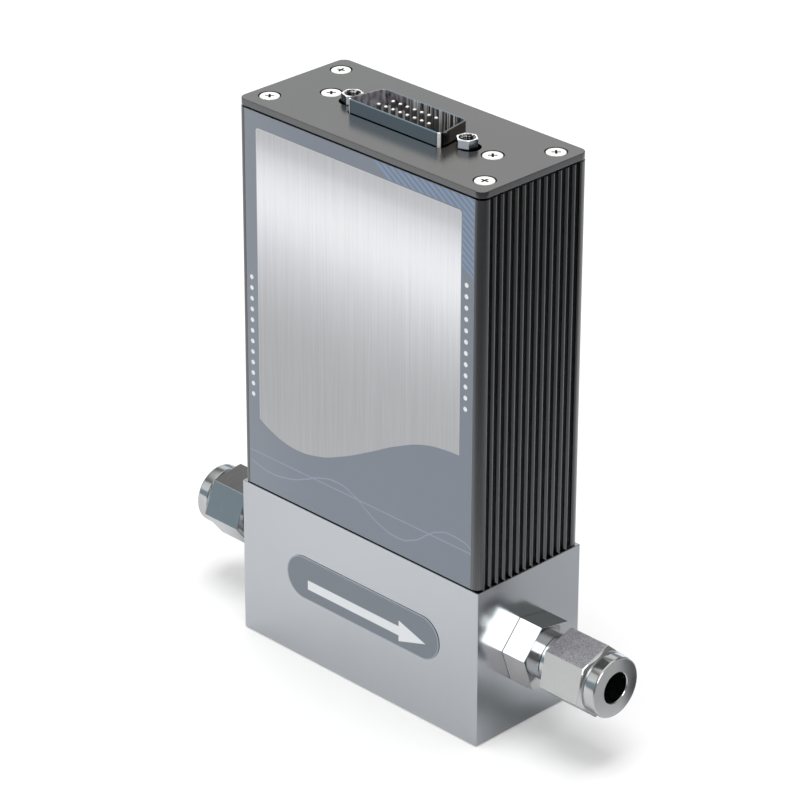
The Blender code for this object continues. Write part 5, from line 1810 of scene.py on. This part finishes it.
    def jack(self, side: Side) -> bmesh.types.BMesh:
        """Makes a jack screw: a hexagon with a turned chamfer, a threaded mouth and a stud.

        Args:
            side: Which of the two.

        Returns:
            The jack screw, with its mouth, its lit facets and its chamfer marked for painted shade and
            painted highlights.
        """
        low, top = self.flange_high + 0.05, self.jack_top
        bm = Bench.hexagon(self.jack_flats, self.jack_turns[side], low, top)
        bm = Bench.soften(bm, self.jack_edge, 2)
        corner = self.jack_flats / math.sqrt(3)
        envelope = [(0, low - 1), (corner + 1, low - 1), (corner + 0.02, top - 0.14),
                    (self.jack_flats / 2 + 0.12, top), (0, top)]
        bm = Bench.combine(bm, Bench.turn(envelope, 64), "INTERSECT")
        bore, root = self.jack_bore, self.thread_root
        mouth = [(0, top - self.bore_depth), (bore, top - self.bore_depth)]
        for turn in range(self.thread_crests):
            station = top - self.bore_depth + 0.2 + turn * self.thread_pitch
            mouth += [(bore, station), (root, station + 0.18), (root, station + 0.22), (bore, station + 0.4)]
        mouth += [(1.5, top - 0.3), (1.82, top + 0.02), (1.82, top + 1), (0, top + 1)]
        bm = Bench.combine(bm, Bench.mark(Bench.turn(mouth, 48)), "DIFFERENCE")
        bm = Bench.combine(bm, Bench.rod(self.stud_radius, self.stud_low, low + 0.3, 32), "UNION")
        bm.normal_update()
        # painted highlight: the chamfer and the facets turned to the lamp take near-white finishes
        for face in bm.faces:
            if face.material_index:
                continue
            facing = math.degrees(math.atan2(face.normal.y, face.normal.x))
            if face.normal.z > 0.3:
                face.material_index = self.RIM
            elif self.lit_facets[0] < facing < self.lit_facets[1]:
                face.material_index = self.FACET
        return Bench.move(bm, self.at_jack(side))

    def build(self) -> None:
        """Builds and dresses the sub-assembly."""
        self.add("connector_shell", self.shell(), self.finishes.shell_plating, "bright_plating",
                 ["connector_front_shell"], marked=[self.finishes.shell_inside])
        self.add("connector_moulding", self.insulator(), self.finishes.plastic, "black_plastic",
                 ["connector_insulator"])
        self.add("pins", self.pins(), self.finishes.pin_metal, "bright_plating", [])
        for side in Side:
            name = f"{side.value}_jack"
            self.add(name, self.jack(side), self.finishes.jack_plating, "bright_plating",
                     [f"{side.value}_jack_screw"],
                     marked=[self.finishes.jack_mouth, self.finishes.jack_facet, self.finishes.jack_rim])
        self.dress(self.finishes.plating, "connector_back_shell", "inlet_jack_nut", "outlet_jack_nut")


@dataclass
class InnerWorks(SubAssembly):
    """What the block and the housing hold. These solids are kept as they are."""

    def build(self) -> None:
        """Dresses the solids."""
        self.dress(self.finishes.inner_steel, "laminar_flow_element", "element_retainer", "inlet_screen",
                   "sensor_base", "sensor_tube", "sensor_cover")
        for side in Side:
            name = side.value
            self.dress(self.finishes.plating, f"{name}_post", f"{name}_standoff", f"sensor_{name}_screw")
            self.dress(self.finishes.rubber, f"sensor_{name}_seal")
            self.dress(self.finishes.copper, f"sensor_{name}_winding")
        self.dress(self.finishes.board, "connector_board", "main_board")
        self.dress(self.finishes.plastic, "board_header", "processor", "regulator")
        self.dress(self.finishes.can, "capacitor")


@dataclass(frozen=True)
class SoftBox:
    """A round light in the surroundings, which only glossy surfaces reflect."""

    aim: Point3
    inner: float
    outer: float
    strength: float


@dataclass
class Studio:
    """Pale floor, soft light, and the camera at the photograph's angle."""

    DIAGONAL: ClassVar[float] = 0.707

    azimuth: float = 45.088
    elevation: float = 26.632
    roll: float = 0.178
    lens: float = 173.49
    camera_at: Point3 = (0.51897, -0.52019, 0.43241)
    lamps_aim: Point3 = (0.0, 0.0, 0.06)
    sky_aim: Point3 = (-0.6, -0.45, 0.5)
    sky_dim: float = 0.14
    sky_bright: float = 0.66
    sky_levels: tuple[Point2, ...] = (
        (-1.0, 0.8), (-0.05, 0.75), (0.02, 0.34), (0.3, 0.33), (0.6, 0.19), (0.74, 0.55), (0.9, 0.95),
        (1.0, 1.0),
    )
    soft_boxes: tuple[SoftBox, ...] = (
        SoftBox((0.633, -0.532, 0.562), 0.975, 0.94, 4.2),
        SoftBox((-0.633, 0.631, 0.448), 0.99, 0.972, 0.58),
        SoftBox((-0.633, -0.631, 0.448), 0.985, 0.965, 0.6),
    )
    sky_low: Point2 = (0.1, 0.5)
    sky_away: Point2 = (-0.3, 0.1)
    sky_spread: Point2 = (-0.5, 0.6)
    low_dimming: float = 0.34
    sky_tint: tuple[Point2, ...] = ((1.0, -0.2), (1.0, 0.0), (0.96, 0.16))
    floor_radius: float = 6.0
    floor_low: float = -0.0002
    floor_lift: float = 0.3
    floor_matt: float = 0.75
    floor_start: Point2 = (-60.0, 0.0)
    floor_end: Point2 = (200.0, 1.0)
    floor_turn: Point2 = (65.0, 105.0)
    floor_fade: Point2 = (200.0, 400.0)
    floor_least: float = 0.7
    # painted shade: a darker patch of floor that glossy surfaces see, to the right behind the block
    shade_patch_rise: Point2 = (27.0, 33.0)
    shade_patch_fall: Point2 = (37.0, 41.0)
    floor_near: tuple[Point2, ...] = (
        (-60.0, 0.62), (-35.0, 0.7), (-18.0, 0.77), (38.0, 0.78), (115.0, 0.4), (160.0, 0.2), (200.0, 0.15),
    )
    floor_far: tuple[Point2, ...] = (
        (-60.0, 1.0), (-25.0, 0.95), (5.0, 0.55), (30.0, 0.47), (115.0, 0.3), (160.0, 0.2), (200.0, 0.15),
    )
    floor_shade_patch: tuple[Point2, ...] = (
        (-60.0, 0.0), (12.0, 0.0), (26.0, 0.16), (85.0, 0.16), (106.0, 0.8), (128.0, 0.75), (150.0, 0.0),
        (200.0, 0.0),
    )

    def camera(self) -> None:
        """Makes the camera."""
        azimuth, elevation, roll = (math.radians(turn) for turn in (self.azimuth, self.elevation, self.roll))
        level = math.cos(elevation)
        back = Vector((math.sin(azimuth) * level, -math.cos(azimuth) * level, math.sin(elevation)))
        right = Vector((math.cos(azimuth), math.sin(azimuth), 0))
        up = back.cross(right)
        turned_right = math.cos(roll) * right + math.sin(roll) * up
        turned_up = math.cos(roll) * up - math.sin(roll) * right
        data = bpy.data.cameras.new("camera")
        data.lens = self.lens
        data.sensor_width = 36.0
        data.clip_start = 0.01
        data.clip_end = 50.0
        made = bpy.data.objects.new("camera", data)
        facing = Matrix((turned_right, turned_up, back)).transposed().to_4x4()
        made.matrix_world = Matrix.Translation(self.camera_at) @ facing
        bpy.context.scene.collection.objects.link(made)
        bpy.context.scene.camera = made

    @staticmethod
    def facing(sketch: Sketch, direction: bpy.types.NodeSocket, aim: Sequence[float]) -> bpy.types.NodeSocket:
        """Gives how far a direction points towards an aim.

        Args:
            sketch: The world's sketch.
            direction: The direction.
            aim: The aim.

        Returns:
            The cosine between them.
        """
        dot = sketch.add("ShaderNodeVectorMath", operation="DOT_PRODUCT")
        sketch.feed(dot.inputs[0], direction)
        dot.inputs[1].default_value = Vector(aim).normalized()
        return dot.outputs["Value"]

    def world(self) -> None:
        """Makes the surroundings: white to the camera, soft to matt surfaces and a studio to glossy ones."""
        world = bpy.data.worlds.new("studio")
        world.use_nodes = True
        bpy.context.scene.world = world
        tree = world.node_tree
        tree.nodes.clear()
        sketch = Sketch(tree)
        direction = sketch.add("ShaderNodeTexCoord").outputs["Generated"]
        along, _, height = sketch.split(direction)
        low = sketch.step(height, *self.sky_low, 1.0, 0.0)
        away = sketch.step(along, *self.sky_away)
        dimming = sketch.math("MULTIPLY", low, sketch.math("MULTIPLY", away, self.low_dimming))
        level = sketch.curve(height, self.sky_levels, (-1.0, 0.0), (1.0, 1.0))
        level = sketch.math("MULTIPLY", level, sketch.math("SUBTRACT", 1.0, dimming))
        glows = 0.0
        for box in self.soft_boxes:
            glow = sketch.step(self.facing(sketch, direction, box.aim), box.outer, box.inner)
            glows = sketch.math("ADD", glows, sketch.math("MULTIPLY", glow, box.strength))
        bright = sketch.math("ADD", level, glows)
        cool = sketch.math("MULTIPLY", low, sketch.math("SUBTRACT", 1.0, away))
        tints = [sketch.math("MULTIPLY_ADD", cool, change, base) for base, change in self.sky_tint]
        studio = sketch.colour(*[sketch.math("MULTIPLY", bright, tint) for tint in tints])
        spread = self.facing(sketch, direction, self.sky_aim)
        spread = sketch.step(spread, *self.sky_spread, self.sky_dim, self.sky_bright)
        soft = sketch.colour(spread, spread, spread)
        path = sketch.add("ShaderNodeLightPath")
        seen = sketch.math("MAXIMUM", path.outputs["Is Camera Ray"], path.outputs["Is Transmission Ray"])
        colour = sketch.blend(path.outputs["Is Glossy Ray"], soft, studio)
        colour = sketch.blend(seen, colour, (1.0, 1.0, 1.0))
        background = sketch.add("ShaderNodeBackground")
        sketch.feed(background.inputs["Color"], colour)
        output = sketch.add("ShaderNodeOutputWorld")
        sketch.feed(output.inputs["Surface"], background.outputs[0])

    def floor(self) -> None:
        """Makes the floor, which keeps a soft shadow and is darker behind the meter to glossy surfaces, with
        a patch of painted shade that the block's right face reflects.
        """
        bm = bmesh.new()
        bmesh.ops.create_circle(bm, cap_ends=True, segments=64, radius=self.floor_radius,
                                matrix=Matrix.Translation((0, 0, self.floor_low)))
        mesh = bpy.data.meshes.new("floor")
        bm.to_mesh(mesh)
        bm.free()
        made = bpy.data.objects.new("floor", mesh)
        bpy.context.scene.collection.objects.link(made)
        finish = bpy.data.materials.new("floor")
        finish.use_nodes = True
        tree = finish.node_tree
        tree.nodes.clear()
        sketch = Sketch(tree)
        x, y, _ = sketch.split(sketch.millimetres())
        behind = sketch.math("ADD", x, y)
        before = sketch.math("MULTIPLY", sketch.math("SUBTRACT", x, y), self.DIAGONAL)
        near, far, corner = (
            sketch.curve(place, points, self.floor_start, self.floor_end)
            for place, points in ((before, self.floor_near), (before, self.floor_far),
                                  (behind, self.floor_shade_patch)))
        share = sketch.step(behind, *self.floor_turn)
        near = sketch.math("MULTIPLY", near, sketch.math("SUBTRACT", 1.0, share))
        reflected = sketch.math("ADD", sketch.math("MULTIPLY", far, share), near)
        faded = sketch.step(behind, *self.floor_fade, 1.0, self.floor_least)
        reflected = sketch.math("MULTIPLY", reflected, faded)
        # painted shade: the darker patch in what glossy surfaces see of the floor
        corner = sketch.math("MULTIPLY", corner, sketch.between(before, self.shade_patch_rise, self.shade_patch_fall))
        reflected = sketch.math("MULTIPLY", reflected, sketch.math("SUBTRACT", 1.0, corner))
        path = sketch.add("ShaderNodeLightPath")
        shade = sketch.blend(path.outputs["Is Glossy Ray"], (self.floor_matt,) * 3, reflected)
        shade = sketch.blend(path.outputs["Is Camera Ray"], shade, (1.0, 1.0, 1.0))
        matt = sketch.add("ShaderNodeBsdfDiffuse")
        sketch.feed(matt.inputs["Color"], shade)
        white = sketch.add("ShaderNodeEmission")
        white.inputs["Strength"].default_value = 1.0
        mix = sketch.add("ShaderNodeMixShader")
        sketch.feed(mix.inputs[0], sketch.math("MULTIPLY", path.outputs["Is Camera Ray"], self.floor_lift))
        sketch.feed(mix.inputs[1], matt.outputs[0])
        sketch.feed(mix.inputs[2], white.outputs[0])
        output = sketch.add("ShaderNodeOutputMaterial")
        sketch.feed(output.inputs["Surface"], mix.outputs[0])
        mesh.materials.append(finish)

    def lamp(self, name: str, at: Sequence[float], size: float, power: float) -> None:
        """Makes a large soft lamp that faces the meter.

        Args:
            name: Its name.
            at: Its place in metres.
            size: Its side in metres.
            power: Its power in watts.
        """
        data = bpy.data.lights.new(name, "AREA")
        data.shape = "DISK"
        data.size = size
        data.energy = power
        made = bpy.data.objects.new(name, data)
        made.location = at
        made.rotation_mode = "QUATERNION"
        made.rotation_quaternion = (Vector(self.lamps_aim) - Vector(at)).to_track_quat("-Z", "Y")
        made.visible_camera = False
        made.visible_glossy = False
        bpy.context.scene.collection.objects.link(made)

    def build(self) -> None:
        """Builds the studio."""
        self.world()
        self.floor()
        self.camera()
        self.lamp("overhead", (0.0, 0.0, 1.6), 1.1, 19.0)
        self.lamp("front", (-0.7, -1.2, 0.9), 1.0, 3.0)
        bpy.context.scene.view_settings.view_transform = "Standard"
        LOG.info("studio ready")


def clear_startup() -> None:
    """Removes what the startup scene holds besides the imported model."""
    kept = [*frame["nodes"].values(), *frame["bodies"].values()]
    for old in list(bpy.data.objects):
        if old not in kept:
            bpy.data.objects.remove(old)


def main() -> None:
    """Builds the meter and its studio."""
    logging.basicConfig(level=logging.INFO, format="%(name)s: %(message)s")
    clear_startup()
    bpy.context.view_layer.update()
    finishes = Finishes()
    FlowBlock(finishes).build()
    TubeFitting(finishes, Side.INLET, nut_turn=8.2).build()
    TubeFitting(finishes, Side.OUTLET, nut_turn=18.4).build()
    Housing(finishes).build()
    connector = Connector(finishes)
    TopPlate(finishes).build(connector.outline(connector.clearance))
    connector.build()
    InnerWorks(finishes).build()
    Studio().build()


if __name__ == "__main__":
    main()
